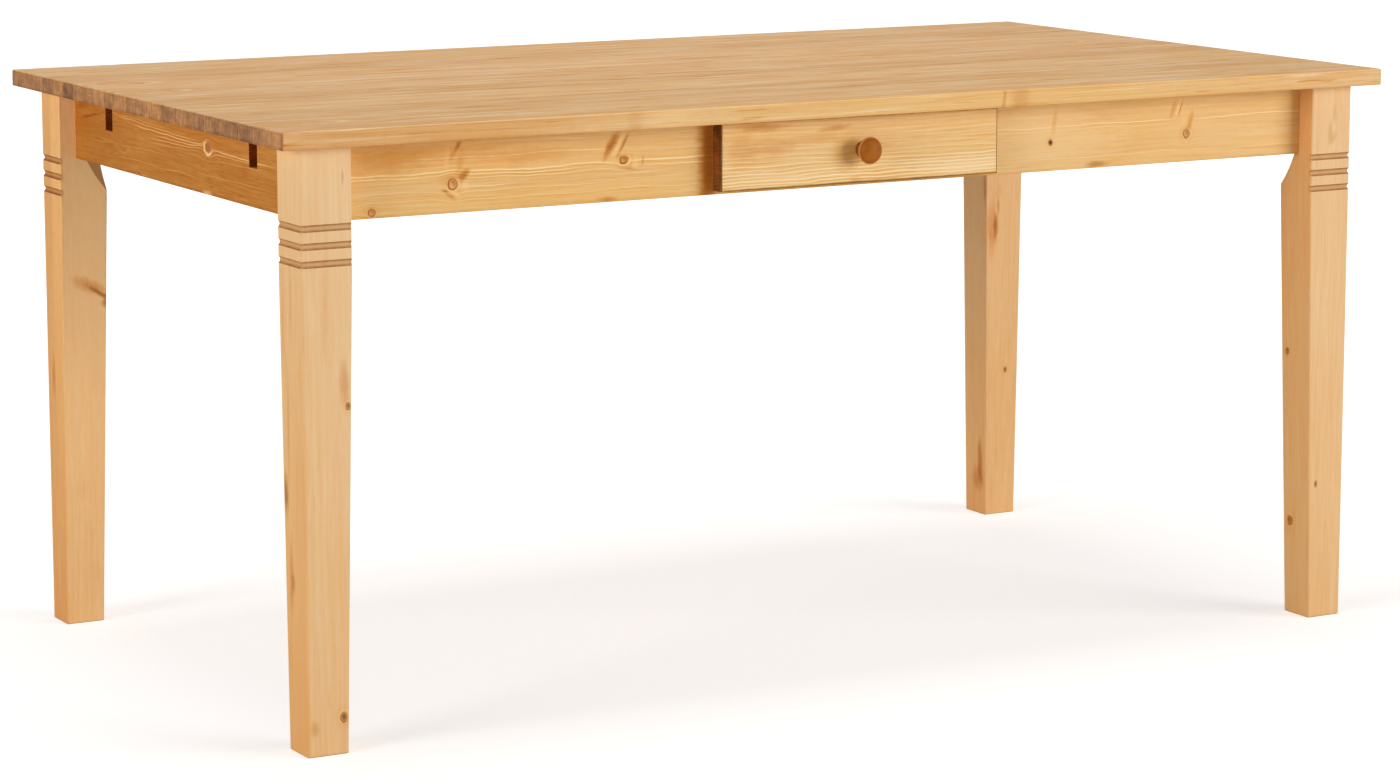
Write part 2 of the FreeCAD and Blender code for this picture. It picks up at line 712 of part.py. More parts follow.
# ---------------------------------------------------------------- the whole table
def build_frame():
    """Legs, corner blocks, leg bolts, aprons, rails and the tabletop."""
    bolts, washers, nuts, leg_holes, block_holes = leg_bolts()
    leg = leg_blank().cut(leg_groove_cutters()).cut([leg_seat_cutter()])
    for corner, piece in four_corners(leg.cut(leg_holes)).items():
        export("leg_" + corner, piece)

    corner_screws = block_screws()
    room = [s.counterbore(block_thickness) for s in corner_screws]
    block = corner_block().cut(block_holes + [s.hole() for s in corner_screws] + room)
    for corner, piece in four_corners(block).items():
        export("corner_block_" + corner, piece)
    for name, solids in (
        ("hanger_bolts", bolts),
        ("leg_washers", washers),
        ("leg_nuts", nuts),
        ("corner_block_screws", [s.solid() for s in corner_screws]),
    ):
        export(name, Part.makeCompound([m for s in solids for m in four_corners(s).values()]))

    angle_set = brackets()
    export("tabletop_brackets", Part.makeCompound([b[0] for b in angle_set]))
    export("bracket_screws_apron", Part.makeCompound([b[1].solid() for b in angle_set]))
    export("bracket_screws_top", Part.makeCompound([b[2].solid() for b in angle_set]))
    side_holes = [b[1].hole() for b in angle_set]

    corner_holes = [m for s in corner_screws for m in four_corners(s.hole()).values()]
    guide_x = (guide_inner_x + guide_outer_x) / 2
    dowels = []
    for side in (-1, 1):
        dowels += end_dowels(side * cross_rail_offset, underside - cross_rail_height, underside)
        dowels += end_dowels(side * guide_x, guide_low, guide_low + guide_height)
    export("rail_dowels", Part.makeCompound([d.solid() for d in dowels]))
    dowel_holes = [d.hole() for d in dowels]
    apron_holes = side_holes + corner_holes + dowel_holes

    apron = long_apron()
    opening = box(-cutout_half_width, cutout_half_width, front_face_y - cutter_margin,
                  front_inner_y + cutter_margin, cutout_low, cutout_high)
    export("front_apron", apron.cut([opening] + apron_holes))
    export("back_apron", mirror_y(apron).cut(apron_holes))
    export("left_end_apron", end_apron().cut(apron_holes))
    export("right_end_apron", mirror_x(end_apron()).cut(apron_holes))

    export("cross_rail_left", cross_rail().cut(dowel_holes))
    export("cross_rail_right", mirror_x(cross_rail()).cut(dowel_holes))

    screws = runner_screws()
    guide = drawer_guide().cut([s.hole() for s in screws])
    runner = drawer_runner().cut([s.hole() for s in screws])
    runner = runner.cut([s.counterbore(runner_height) for s in screws])
    export("drawer_guide_left", guide.cut(dowel_holes))
    export("drawer_guide_right", mirror_x(guide).cut(dowel_holes))
    export("drawer_runner_left", runner)
    export("drawer_runner_right", mirror_x(runner))
    solids = [s.solid() for s in screws]
    export("runner_screws", Part.makeCompound(solids + [mirror_x(s) for s in solids]))

    screws = kicker_screws()
    kicker = drawer_kicker().cut([s.hole() for s in screws])
    export("drawer_kicker", kicker.cut([s.counterbore(box_high) for s in screws]))
    export("kicker_screws", Part.makeCompound([s.solid() for s in screws]))

    slab = tabletop_slab([b[2].hole() for b in angle_set] + [s.hole() for s in screws])
    for number, board in enumerate(tabletop_boards(slab), start=1):
        export("tabletop_board_%d" % number, board)


def build_drawer():
    """The drawer box, its overlay front and the knob."""
    dowels = drawer_dowels()
    dowel_holes = [d.hole() for d in dowels]
    pins = stop_pins()
    pin_holes = [p.hole() for p in pins]
    front_screws = drawer_front_screws()
    pull_screw = knob_screw()
    front_holes = [s.hole() for s in front_screws + [pull_screw]]
    front_room = [s.counterbore(drawer_wall) for s in front_screws + [pull_screw]]

    side = drawer_side()
    export("drawer_side_left", side.cut(dowel_holes + pin_holes))
    export("drawer_side_right", mirror_x(side).cut(dowel_holes + pin_holes))
    export("drawer_box_front", drawer_cross_wall(box_front_y).cut(dowel_holes + front_holes + front_room))
    export("drawer_back", drawer_cross_wall(box_back_y - drawer_wall).cut(dowel_holes))
    export("drawer_bottom", bottom_panel())
    export("drawer_dowels", Part.makeCompound([d.solid() for d in dowels]))
    export("drawer_stop_pins", Part.makeCompound([p.solid() for p in pins]))
    export("drawer_front", drawer_front().cut(front_holes))
    export("drawer_front_screws", Part.makeCompound([s.solid() for s in front_screws]))
    export("drawer_knob", knob().cut([pull_screw.hole()]))
    export("knob_screw", pull_screw.solid())


os.makedirs("parts", exist_ok=True)
build_frame()
build_drawer()
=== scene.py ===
"""Looks for the tavern table: oiled pine worked out board by board, steel, camera and studio.

Metres in the scene; the wood fields work in millimetres. The drawer side faces -Y.
"""
import bpy
import math
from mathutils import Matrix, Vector


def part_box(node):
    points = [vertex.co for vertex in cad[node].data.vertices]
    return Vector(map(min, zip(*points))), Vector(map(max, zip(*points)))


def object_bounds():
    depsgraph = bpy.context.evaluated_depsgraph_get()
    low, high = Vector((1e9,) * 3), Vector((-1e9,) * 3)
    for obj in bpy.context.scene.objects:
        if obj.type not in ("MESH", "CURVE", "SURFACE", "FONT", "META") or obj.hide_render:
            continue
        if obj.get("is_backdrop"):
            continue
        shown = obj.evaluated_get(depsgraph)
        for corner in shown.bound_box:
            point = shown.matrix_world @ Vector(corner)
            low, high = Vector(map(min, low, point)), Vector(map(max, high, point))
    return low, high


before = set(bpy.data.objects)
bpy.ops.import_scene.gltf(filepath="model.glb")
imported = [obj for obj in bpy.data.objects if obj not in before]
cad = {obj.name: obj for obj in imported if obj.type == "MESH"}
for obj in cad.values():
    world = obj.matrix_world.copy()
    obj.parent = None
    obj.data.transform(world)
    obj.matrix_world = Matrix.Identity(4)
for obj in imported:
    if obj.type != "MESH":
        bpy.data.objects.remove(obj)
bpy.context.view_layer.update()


# ------------------------------------------ node-tree shorthand
def srgb(r, g, b):
    """A 0-255 display colour as a linear RGBA tuple."""
    def linear(c):
        c /= 255.0
        return c / 12.92 if c <= 0.04045 else ((c + 0.055) / 1.055) ** 2.4
    return (linear(r), linear(g), linear(b), 1.0)


def plug(tree, socket, value):
    """Link a Value or a socket into an input, or set the input to a plain number or colour."""
    if isinstance(value, Value):
        value = value.socket
    if isinstance(value, bpy.types.NodeSocket):
        tree.links.new(value, socket)
    else:
        socket.default_value = value


class Value:
    """A number in a node tree. Arithmetic on it adds Math nodes."""

    def __init__(self, tree, socket):
        self.tree = tree
        self.socket = socket

    def math(self, operation, *others, clamp=False):
        node = self.tree.nodes.new("ShaderNodeMath")
        node.operation = operation
        node.use_clamp = clamp
        for slot, value in zip(node.inputs, (self,) + others):
            plug(self.tree, slot, value)
        return Value(self.tree, node.outputs[0])

    def __add__(self, other):
        return self.math("ADD", other)

    __radd__ = __add__

    def __sub__(self, other):
        return self.math("SUBTRACT", other)

    def __mul__(self, other):
        return self.math("MULTIPLY", other)

    def __truediv__(self, other):
        return self.math("DIVIDE", other)

    def __neg__(self):
        return self * -1.0

    def __rsub__(self, other):
        return -self + other

    def __abs__(self):
        return self.math("ABSOLUTE")

    def square(self):
        return self * self

    def low(self, other):
        return self.math("MINIMUM", other)

    def high(self, other):
        return self.math("MAXIMUM", other)

    def clamped(self):
        return self.math("ADD", 0.0, clamp=True)

    def step(self, start, end):
        """Smooth step from 0 at 'start' to 1 at 'end'; 'start' may be the larger."""
        node = self.tree.nodes.new("ShaderNodeMapRange")
        node.interpolation_type = "SMOOTHSTEP"
        flip = start > end
        for name, value in (("From Min", min(start, end)), ("From Max", max(start, end)),
                            ("To Min", 1.0 if flip else 0.0), ("To Max", 0.0 if flip else 1.0)):
            node.inputs[name].default_value = value
        plug(self.tree, node.inputs["Value"], self)
        return Value(self.tree, node.outputs[0])

    def bell(self, centre, width):
        """1 at 'centre', falling off smoothly on both sides."""
        return (-((self - centre) / width).square()).math("EXPONENT")


def length(a, b):
    return (a.square() + b.square()).math("SQRT")


class Canvas:
    """A node tree, emptied. On wood it has grain coordinates in mm: u along the grain, v and w across it."""

    def __init__(self, tree):
        self.tree = tree
        tree.nodes.clear()

    def follow(self, u, v, w, seed):
        self.u, self.v, self.w, self.seed = u, v, w, seed

    def add(self, kind):
        return self.tree.nodes.new(kind)

    def fed(self, kind, inputs, **fields):
        """A new node with its fields set, and its inputs set or linked."""
        node = self.add(kind)
        for field, value in fields.items():
            setattr(node, field, value)
        for place, value in inputs.items():
            plug(self.tree, node.inputs[place], value)
        return node

    def show(self, shader, output="ShaderNodeOutputMaterial"):
        """Make a shader node the tree's surface."""
        self.fed(output, {"Surface": shader.outputs[0]})

    def value(self, socket):
        return Value(self.tree, socket)

    def split(self, socket):
        """A vector's three parts."""
        node = self.fed("ShaderNodeSeparateXYZ", {0: socket})
        return {k: self.value(node.outputs[k]) for k in "XYZ"}

    def ray(self, kind):
        """1 for rays of a kind, else 0: Camera for what is seen, Glossy for what the wood mirrors."""
        return self.value(self.add("ShaderNodeLightPath").outputs["Is %s Ray" % kind])

    def vector(self, a, b, c):
        return self.fed("ShaderNodeCombineXYZ", {"X": a, "Y": b, "Z": c}).outputs[0]

    def noise(self, along, across, salt, detail=2.0, rough=0.5, deep=None, warp=0.0):
        """Noise centred on 0, with 'along' and 'across' waves per mm ('deep' for w, if it differs)."""
        shift = self.seed * 31.7 + salt * 7.3
        deep = across if deep is None else deep
        place = self.vector(self.u * along + shift, self.v * across + shift * 0.7, self.w * deep - shift)
        node = self.fed("ShaderNodeTexNoise", {"Vector": place, "Scale": 1.0, "Detail": detail,
                                               "Roughness": rough, "Distortion": warp})
        return self.value(node.outputs["Fac"]) - 0.5

    def drift(self, waves, salt, apart=0.0):
        """Slow wandering along the grain only, centred on 0; 'apart' sets one line's own course."""
        place = self.u * waves + (self.seed * 13.1 + salt * 5.9) + apart
        node = self.fed("ShaderNodeTexNoise", {"W": place, "Scale": 1.0, "Detail": 1.5},
                        noise_dimensions="1D")
        return self.value(node.outputs["Fac"]) - 0.5

    def dice(self, number):
        """A random number from 0 to 1 for each whole number."""
        node = self.fed("ShaderNodeTexWhiteNoise", {"W": number}, noise_dimensions="1D")
        return self.value(node.outputs["Value"])

    def mix(self, amount, a, b):
        """Colour a, or b by 'amount'."""
        return self.fed("ShaderNodeMix", {0: amount, 6: a, 7: b}, data_type="RGBA").outputs[2]

    def ramp(self, amount, *stops):
        """Grey ramp: (place, brightness) pairs."""
        node = self.fed("ShaderNodeValToRGB", {0: amount})
        points = node.color_ramp.elements
        while len(points) < len(stops):
            points.new(0.5)
        for point, (place, level) in zip(points, stops):
            point.position = place
            point.color = (level, level, level, 1.0)
        return self.value(node.outputs[0])

    def toned(self, colour, amount):
        """A colour made paler (above 0) or deeper and darker (below 0), the way oiled wood goes."""
        return self.fed("ShaderNodeGamma", {"Color": colour, "Gamma": 1.0 - amount}).outputs[0]

    def scaled(self, colour, amount):
        """A colour made lighter or darker by a number."""
        rgb = colour[:3] if isinstance(colour, tuple) else colour
        return self.fed("ShaderNodeVectorMath", {0: rgb, "Scale": amount}, operation="SCALE").outputs[0]


class Group(Canvas):
    """A node group, built once and placed in many materials. Labels that end in 'colour' carry colours."""

    def __init__(self, name, inputs, outputs):
        super().__init__(bpy.data.node_groups.new(name, "ShaderNodeTree"))
        for side, labels in (("INPUT", inputs), ("OUTPUT", outputs)):
            for label in labels.split():
                kind = "NodeSocketColor" if label.endswith("colour") else "NodeSocketFloat"
                self.tree.interface.new_socket(label, in_out=side, socket_type=kind)
        self.entry = self.add("NodeGroupInput")
        if inputs.startswith("u v w seed"):
            self.follow(self["u"], self["v"], self["w"], self["seed"])

    def __getitem__(self, label):
        socket = self.entry.outputs[label]
        return socket if label.endswith("colour") else self.value(socket)

    def close(self, **results):
        self.fed("NodeGroupOutput", results)
        return self

    def place(self, canvas, **values):
        """Put the group into a canvas; its results come back by label."""
        node = canvas.fed("ShaderNodeGroup", values, node_tree=self.tree)
        return {socket.name: socket if socket.name.endswith("colour") else canvas.value(socket)
                for socket in node.outputs}


class Wood(Canvas):
    """A piece's material while it is being built: its coordinates, its corners and how its surface faces.

    'axes' are the one along the grain and the two across it. 'outer' holds the faces farther from the
    table's middle.
    """

    def __init__(self, name, axes, seed, box=None):
        self.material = bpy.data.materials.new(name)
        self.material.use_nodes = True
        super().__init__(self.material.node_tree)
        place = self.add("ShaderNodeTexCoord")
        self.xyz = {k: part * 1000.0 for k, part in self.split(place.outputs["Object"]).items()}
        self.facing = self.split(place.outputs["Normal"])
        self.follow(*(self.xyz[k] for k in axes), seed)
        self.end = abs(self.facing[axes[0]])
        self.axes = axes
        if box:
            self.low, self.high = (dict(zip("XYZ", (c * 1000.0 for c in corner))) for corner in box)
            self.outer = {k: max(self.low[k], self.high[k], key=abs) for k in "XYZ"}

    def grain(self, v=None, on_side=False):
        """The grain coordinates as group inputs, with v and w swapped on the faces that look along v."""
        if on_side:
            return dict(u=self.u, v=self.w, w=self.v, seed=self.seed)
        return dict(u=self.u, v=self.v if v is None else v, w=self.w, seed=self.seed)

    def finish(self, colour, roughness, height, strength, distance, fixed):
        """Principled shader; 'fixed' are its other sockets' values."""
        bump = self.fed("ShaderNodeBump", {"Height": height, "Strength": strength, "Distance": distance})
        self.show(self.fed("ShaderNodeBsdfPrincipled", {
            "Base Color": colour, "Roughness": roughness, "Normal": bump.outputs["Normal"], **fixed}))
        return self.material


# ------------------------------------------ pine, field by field
SPOT_KEYS = "at_u at_v at_w radius_u radius_v turn lean_u lean_v".split()
STAVE_WIDTH = 37.0  # mm, of the glued staves that the cut ends show


def arris_group():
    """Distance in mm from a box-like piece's nearest arris, on any of its faces."""
    g = Group("arris_distance", "x y z low_x low_y low_z high_x high_y high_z", "distance")
    first, second, third = ((g[k] - g["low_" + k]).low(g["high_" + k] - g[k]) for k in "xyz")
    return g.close(distance=first.low(second).high(first.high(second).low(third)))


def ripple_group():
    """Grain that wanders slowly, before any knot bends it."""
    g = Group("grain_ripple", "u v w seed", "ripple flow")
    ripple = g.noise(0.01, 0.05, 1, detail=3.0)
    flow = g.v + g.noise(0.0035, 0.012, 2) * 7.0 + ripple * 1.8
    return g.close(ripple=ripple, flow=flow)


def spot_group():
    """Place about a spot's middle in its own radii; it may be turned, and leans as it goes through the board.

    It fades out 30 mm deep. 'bend' is how far the grain gives way beside it: up above it and down below it.
    """
    g = Group("spot", " ".join(["u v w seed"] + SPOT_KEYS), "x y far bend")
    depth = g.w - g["at_w"]
    du = g.u - g["at_u"] - depth * g["lean_u"]
    dv = g.v - g["at_v"] - depth * g["lean_v"]
    cos, sin = g["turn"].math("COSINE"), g["turn"].math("SINE")
    x = (du * cos + dv * sin) / g["radius_u"]
    y = (dv * cos - du * sin) / g["radius_v"]
    round_off = length(x, y)
    uneven = g.noise(0.05, 0.16, 3) * 0.9 + g.noise(0.26, 0.26, 4) * 0.35
    bend = (-(round_off / 2.4).square()).math("EXPONENT") * y * g["radius_v"]
    buried = (abs(depth) - 30.0).high(0.0) * 0.12
    return g.close(x=x, y=y, far=round_off + uneven + buried, bend=bend)


def knot_group():
    """A sound knot: a pale arc of crowded grain, a thin broken rim, flesh, and a crescent in its middle."""
    g = Group("knot", "x y far halo rim strength pit under_colour flesh_colour rim_colour halo_colour",
              "colour")
    far = g["far"]
    side = (g["x"] * 0.7 + g["y"] * 0.6 + 0.45).clamped()
    below = (g["x"] * 0.35 - g["y"] * 0.45 + 0.6).clamped()
    colour = g.toned(g["under_colour"], far.bell(1.3, 1.1) * g["rim"] * -0.22)
    colour = g.mix(far.bell(1.55, 0.24) * below * g["halo"], colour, g["halo_colour"])
    colour = g.mix(far.step(1.12, 0.88) * g["strength"], colour, g["flesh_colour"])
    crescent = far.bell(0.5, 0.16) * side + far.bell(0.1, 0.14) * 0.4
    colour = g.mix(crescent * g["rim"], colour, g["rim_colour"])
    colour = g.mix(far.bell(0.98, 0.18) * ((1.0 - side) * 0.35 + 0.65) * g["rim"], colour, g["rim_colour"])
    colour = g.mix(far.step(0.9, 0.35) * g["pit"], colour, srgb(62, 26, 8))
    return g.close(colour=colour)


def mark_group(spot):
    """A soft patch of another tone, such as the wedge of cross grain above a knot."""
    keys = "u v w seed".split() + SPOT_KEYS
    g = Group("mark", " ".join(keys + ["strength depth under_colour mark_colour"]), "colour")
    place = spot.place(g, **{k: g[k] for k in keys})
    amount = place["far"].step(1.45, 0.15) * g["strength"]
    colour = g.toned(g["under_colour"], amount * g["depth"] * -1.0)
    return g.close(colour=g.mix(amount * (1.0 - g["depth"] * 0.4), colour, g["mark_colour"]))


def line_group():
    """A thin pale line that runs with the grain, wavy and patchy, with a faint dark one below it.

    It fades over 50 mm at its start and its stop.
    """
    g = Group("grain_line", "u v w seed at_v width rise start stop strength under_colour line_colour",
              "colour")
    wave = g.drift(0.009, 1, g["at_v"] * 0.02) * 5.5 + g.drift(0.035, 2, g["at_v"] * 0.9) * 1.6
    place = (g.v + wave - g.u * g["rise"] - g["at_v"]) / (g["width"] * 0.9)
    patchy = (g.noise(0.012, 0.16, 11) * 2.8 + 1.1).clamped()
    reach = ((g.u - g["start"]) / 50.0 + 0.5).clamped() * ((g["stop"] - g.u) / 50.0 + 0.5).clamped()
    amount = patchy * reach * g["strength"]
    colour = g.toned(g["under_colour"], place.bell(-2.0, 1.0) * amount * -0.34)
    return g.close(colour=g.mix((place.bell(0.0, 1.0) * amount * 1.3).clamped(), colour, g["line_colour"]))


def figure_group():
    """Growth rings about a wandering pith, fibres, colour bands, cross shimmer and short resin streaks.

    'ring' is a ring's width in mm, and 'rise' and 'wander' are how the pith runs. 'spread' and 'reach' are
    how fine the fibres are across and along the grain. 'contrast' is how strongly the rings show, and
    'bands', 'fibres' and 'streaks' are how strongly those do.
    """
    g = Group("pine_figure", "u v w seed pith_v pith_w ring rise wander spread reach contrast bands fibres"
              " streaks early_colour late_colour band_colour", "rings fine height gloss colour")
    pith_v = g["pith_v"] + g.drift(0.0011, 1) * g["wander"] + g.u * g["rise"]
    pith_w = g["pith_w"] + g.drift(0.0013, 2) * g["wander"] + g.u * (g["rise"] * 0.6)
    radius = length(g.v - pith_v, g.w - pith_w)
    phase = radius / g["ring"] + (radius * 0.045).math("SINE") * 0.8
    growth = g.ramp(phase.math("FRACT"), (0.0, 0.0), (0.35, 0.08), (0.72, 0.55), (0.9, 1.0), (1.0, 0.0))
    rings = growth * (g.dice(phase.math("FLOOR") + g.seed) * 0.75 + 0.25)

    across, along = g["spread"], g["reach"]
    fibre = g.noise(along * 0.01, across * 0.42, 4, detail=5.0, rough=0.68, deep=0.42)
    fine = g.noise(0.05, 1.8, 5)
    band = g.noise(0.0018, 0.04, 6, detail=3.0)
    cloud = g.noise(0.006, 0.011, 7)
    shimmer = g.noise(0.16, 0.03, 13, detail=3.0)
    thin = across * 0.1 + 0.16
    dash = g.noise(along.high(0.85) * 0.014, thin, 8, detail=1.0, deep=0.26).step(0.16, 0.26)
    gleam = g.noise(along * 0.008, thin, 14, detail=1.0, deep=0.22).step(0.13, 0.26)

    colour = g.mix(rings * g["contrast"], g["early_colour"], g["late_colour"])
    colour = g.mix((band * 4.0 + 0.45).clamped() * g["bands"], colour, g["band_colour"])
    tone = fibre * 1.1 + fine * 0.25 + band * 0.55 + shimmer * 0.1
    colour = g.toned(colour, tone * g["fibres"] + cloud * 0.2)
    colour = g.toned(colour, (gleam * 0.24 - dash * 0.42) * g["streaks"])
    height = rings * 0.55 + fibre * 0.7 + fine * 0.5 - dash * 0.35
    return g.close(rings=rings, fine=fine, height=height, gloss=g.noise(0.02, 0.05, 12), colour=colour)


def cut_group():
    """Cut ends drink the oil: darker and mauver, blotched, with the rings and the sawn bars showing.

    'blocks' gives each glued stave a tone of its own; 'cut' is how much the surface faces along the grain.
    """
    g = Group("cut_end", "u v w seed cut stain blocks rings top_edge top_line under_colour end_colour"
              " mauve_colour", "colour")
    number = ((g.v + g.noise(0.0, 0.02, 15) * 16.0) / STAVE_WIDTH).math("FLOOR")
    tone = g.dice(number + g.seed)
    hue = g.dice(number * 1.7 + 41.0 + g.seed)
    blotch = g.noise(0.0, 0.05, 9, detail=3.0, rough=0.6, deep=0.09)
    bars = g.noise(0.0, 0.2, 10, detail=2.0, rough=0.5, deep=0.05)
    speck = g.noise(0.0, 0.6, 16, detail=3.0, rough=0.6)
    level = ((tone - 0.5) * g["blocks"] * 0.38 + blotch * 0.75 + bars + speck * 1.05 + 0.98
             - g["rings"] * (0.55 - g["blocks"] * 0.42) - g["top_line"] * 0.3)
    end = g.mix(((hue - 0.5) * g["blocks"] * 0.6 + blotch * 1.3 + g["top_edge"] * 0.3 + 0.42).clamped(),
                g["mauve_colour"], g["end_colour"])
    return g.close(colour=g.mix(g["cut"] * g["stain"], g["under_colour"], g.scaled(end, level)))


ARRIS, RIPPLE, SPOT, KNOT = arris_group(), ripple_group(), spot_group(), knot_group()
MARK, LINE, FIGURE, CUT = mark_group(SPOT), line_group(), figure_group(), cut_group()
SPOT_DEFAULTS = dict(turn=0.0, lean_u=0.12, lean_v=0.2)
KNOT_DEFAULTS = dict(halo=0.6, rim=0.9, strength=0.6, pit=0.0, flesh_colour=(222, 152, 80),
                     rim_colour=(148, 78, 16), halo_colour=(253, 216, 146))
LINE_DEFAULTS = dict(rise=0.0, start=-2000.0, stop=2000.0, line_colour=(255, 226, 168))
FIGURE_DEFAULTS = dict(ring=3.2, rise=0.0, wander=18.0, spread=1.0, reach=1.0, contrast=0.45, bands=0.2,
                       fibres=1.0, streaks=0.5, band_colour=(214, 150, 98))
END_DEFAULTS = dict(stain=0.6, blocks=0.0, end_colour=(128, 82, 52), mauve_colour=(128, 82, 52))
PALE = 560  # red, green and blue of a mark's colour added up: above this it is only paler than the wood
DARK_DEPTH = 0.45  # how much of a darker mark deepens the wood under it
GROOVES = [643.0 - 21.5 * k for k in range(3)]  # heights in mm, one pitch apart


def settings(*layers):
    """Later layers win. Display colours turn linear and degrees turn to radians."""
    merged = {}
    for layer in layers:
        merged.update(layer)
    for label, value in merged.items():
        if label.endswith("colour"):
            merged[label] = srgb(*value)
    if "turn" in merged:
        merged["turn"] = math.radians(merged["turn"])
    return merged


def placed(wood, spot):
    """A knot's or mark's grain coordinates and shape as group inputs, and its look.

    It lies on the outer face that looks along w, or along v with 'on_side', unless it says how deep it lies.
    """
    on_side = spot.get("on_side", False)
    outer_face = wood.outer[wood.axes[1 if on_side else 2]]
    shape = settings(SPOT_DEFAULTS, dict(at_w=outer_face), {k: v for k, v in spot.items() if k in SPOT_KEYS})
    look = {k: v for k, v in spot.items() if k not in SPOT_KEYS and k not in ("push", "on_side")}
    return dict(wood.grain(on_side=on_side), **shape), look


def round_knots(wood, flow, knots):
    """Push the grain aside at each knot. Gives the new flow, and each knot's look with its place."""
    spots = []
    for knot in knots:
        inputs, look = placed(wood, knot)
        spot = SPOT.place(wood, **inputs)
        if not knot.get("on_side"):
            flow = flow - spot["bend"] * knot.get("push", 0.6)
        spots.append((look, spot))
    return flow, spots


def drawn_over(wood, colour, flow, lines, marks, spots):
    """The wood's colour with its pale lines, then its marks, then its knots over it."""
    for stroke in lines:
        colour = LINE.place(wood, **wood.grain(flow), under_colour=colour,
                            **settings(LINE_DEFAULTS, stroke))["colour"]
    for patch in marks:
        inputs, look = placed(wood, patch)
        depth = 0.0 if sum(patch["mark_colour"]) > PALE else DARK_DEPTH
        colour = MARK.place(wood, **inputs, under_colour=colour, depth=depth, **settings(look))["colour"]
    for look, spot in spots:
        colour = KNOT.place(wood, x=spot["x"], y=spot["y"], far=spot["far"], under_colour=colour,
                            **settings(KNOT_DEFAULTS, look))["colour"]
    return colour


def cut_ends(wood, colour, rings, cut, look):
    """Darken the cut ends. 'cut' is how squarely a face looks along the grain where it begins and is full."""
    upper = wood.w - wood.high[wood.axes[2]]  # mm; on a tabletop board, below its upper face
    return CUT.place(wood, **wood.grain(), cut=wood.end.step(*cut), rings=rings, under_colour=colour,
                     top_edge=upper.step(-8.0, -1.0), top_line=upper.step(-1.6, -0.6),
                     **settings(END_DEFAULTS, look))["colour"]


def leg_oil_and_shade(wood, colour, everywhere, side_light, growth):
    """Oil in the grooves on a leg's outer faces, with painted shade in them, and the leg's tones, partly
    painted light and shade.

    'sunk' is how far the surface lies below the nearer of the leg's two outer faces, in mm.
    'everywhere' is how much paler the leg is, 'side_light' how much painted light its faces that look
    along -X get (painted shade below 0), and 'growth' how much that grows with each mm of height.
    """
    sunk = (abs(wood.xyz["X"]) * -1.0 + abs(wood.outer["X"])).low(
        abs(wood.xyz["Y"]) * -1.0 + abs(wood.outer["Y"]))
    rows = sum(wood.u.bell(height, 4.6) for height in GROOVES)
    # oil in the grooves, with painted shade in them
    groove_oil_and_shade = sunk.step(0.1, 1.3) * sunk.step(5.0, 3.4) * rows
    colour = wood.mix(groove_oil_and_shade * 0.42, wood.toned(colour, groove_oil_and_shade * -0.12), srgb(176, 122, 68))
    # Painted shade: darker towards the feet, paler towards the top; and painted light and shade on the faces
    # that look along -X, changing with height.
    plain_height, upper_height, foot_shade = 400.0, 650.0, 0.00018
    return wood.toned(colour, (wood.u - plain_height) * foot_shade + everywhere
                      + ((wood.u - upper_height) * growth + side_light) * (-wood.facing["X"]).clamped())


def arrises(wood, colour, ripple, fine, rubbed_and_lit):
    """Arrises: sanded a little paler right at the edge, paler still as a painted highlight where they face
    up, and with oil and painted shade just behind the edge, most where it faces down.

    Gives back how worn the surface is, and its colour.
    """
    edge = ARRIS.place(wood, **{k.lower(): wood.xyz[k] for k in "XYZ"},
                       **{"low_" + k.lower(): wood.low[k] for k in "XYZ"},
                       **{"high_" + k.lower(): wood.high[k] for k in "XYZ"})["distance"] + ripple * 1.2
    # how much an edge is worn and lit: painted highlight where it faces up, painted shade where it faces down
    worn_and_lit = (wood.facing["Z"] * 0.7 + rubbed_and_lit).clamped()
    worn = edge.step(2.2, 0.2) * (fine * 1.4 + 0.8)
    colour = wood.mix(worn * worn_and_lit * 0.55, colour, srgb(253, 219, 162))
    return worn, wood.toned(colour, edge.bell(1.6, 1.6) * (1.0 - worn_and_lit) * -0.3)


def dress(node, material):
    """Give every material slot of a CAD node this material."""
    for place in cad[node].material_slots:
        place.material = material


def pine(node, name, axes, seed, pith, knots=(), marks=(), lines=(), cut=(0.1, 0.55), rough=0.5,
         shade_inward=None, leg_tones_and_light=None, rubbed_and_lit=0.4, **look):
    """Dress one piece in oiled pine. 'look' overrides FIGURE_DEFAULTS and END_DEFAULTS.

    'pith' is the v and w of its log's middle, and 'rubbed' is how pale the upright arrises are, from wear and
    painted highlight.
    'inward' is the way to the table's middle: the faces that look there are painted a deeper tone, as painted
    shade.
    """
    wood = Wood(name, axes, seed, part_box(node))
    end_look = {k: look.pop(k) for k in END_DEFAULTS if k in look}
    ripple = RIPPLE.place(wood, **wood.grain())
    flow, spots = round_knots(wood, ripple["flow"], knots)
    figure = FIGURE.place(wood, **wood.grain(flow), pith_v=pith[0], pith_w=pith[1],
                          **settings(FIGURE_DEFAULTS, look))
    colour = drawn_over(wood, figure["colour"], flow, lines, marks, spots)
    colour = cut_ends(wood, colour, figure["rings"], cut, end_look)
    # Painted shade on the faces that look towards the table's middle.
    if shade_inward:
        looks_in = (wood.facing["X"] * shade_inward[0] + wood.facing["Y"] * shade_inward[1]).step(0.2, 0.9)
        colour = wood.toned(colour, looks_in * -0.1)
    if leg_tones_and_light:
        colour = leg_oil_and_shade(wood, colour, *leg_tones_and_light)
    worn, colour = arrises(wood, colour, ripple["ripple"], figure["fine"], rubbed_and_lit)
    roughness = figure["gloss"] * 0.16 + rough - figure["rings"] * 0.07 + wood.end * 0.12 - worn * 0.04
    dress(node, wood.finish(colour, roughness, figure["height"], 0.55, 0.00022,
                            {"Specular IOR Level": 0.14}))


# ------------------------------------------ the pine pieces
STRAIGHT = dict(lean_u=0, lean_v=0)  # for a spot that goes straight into the wood


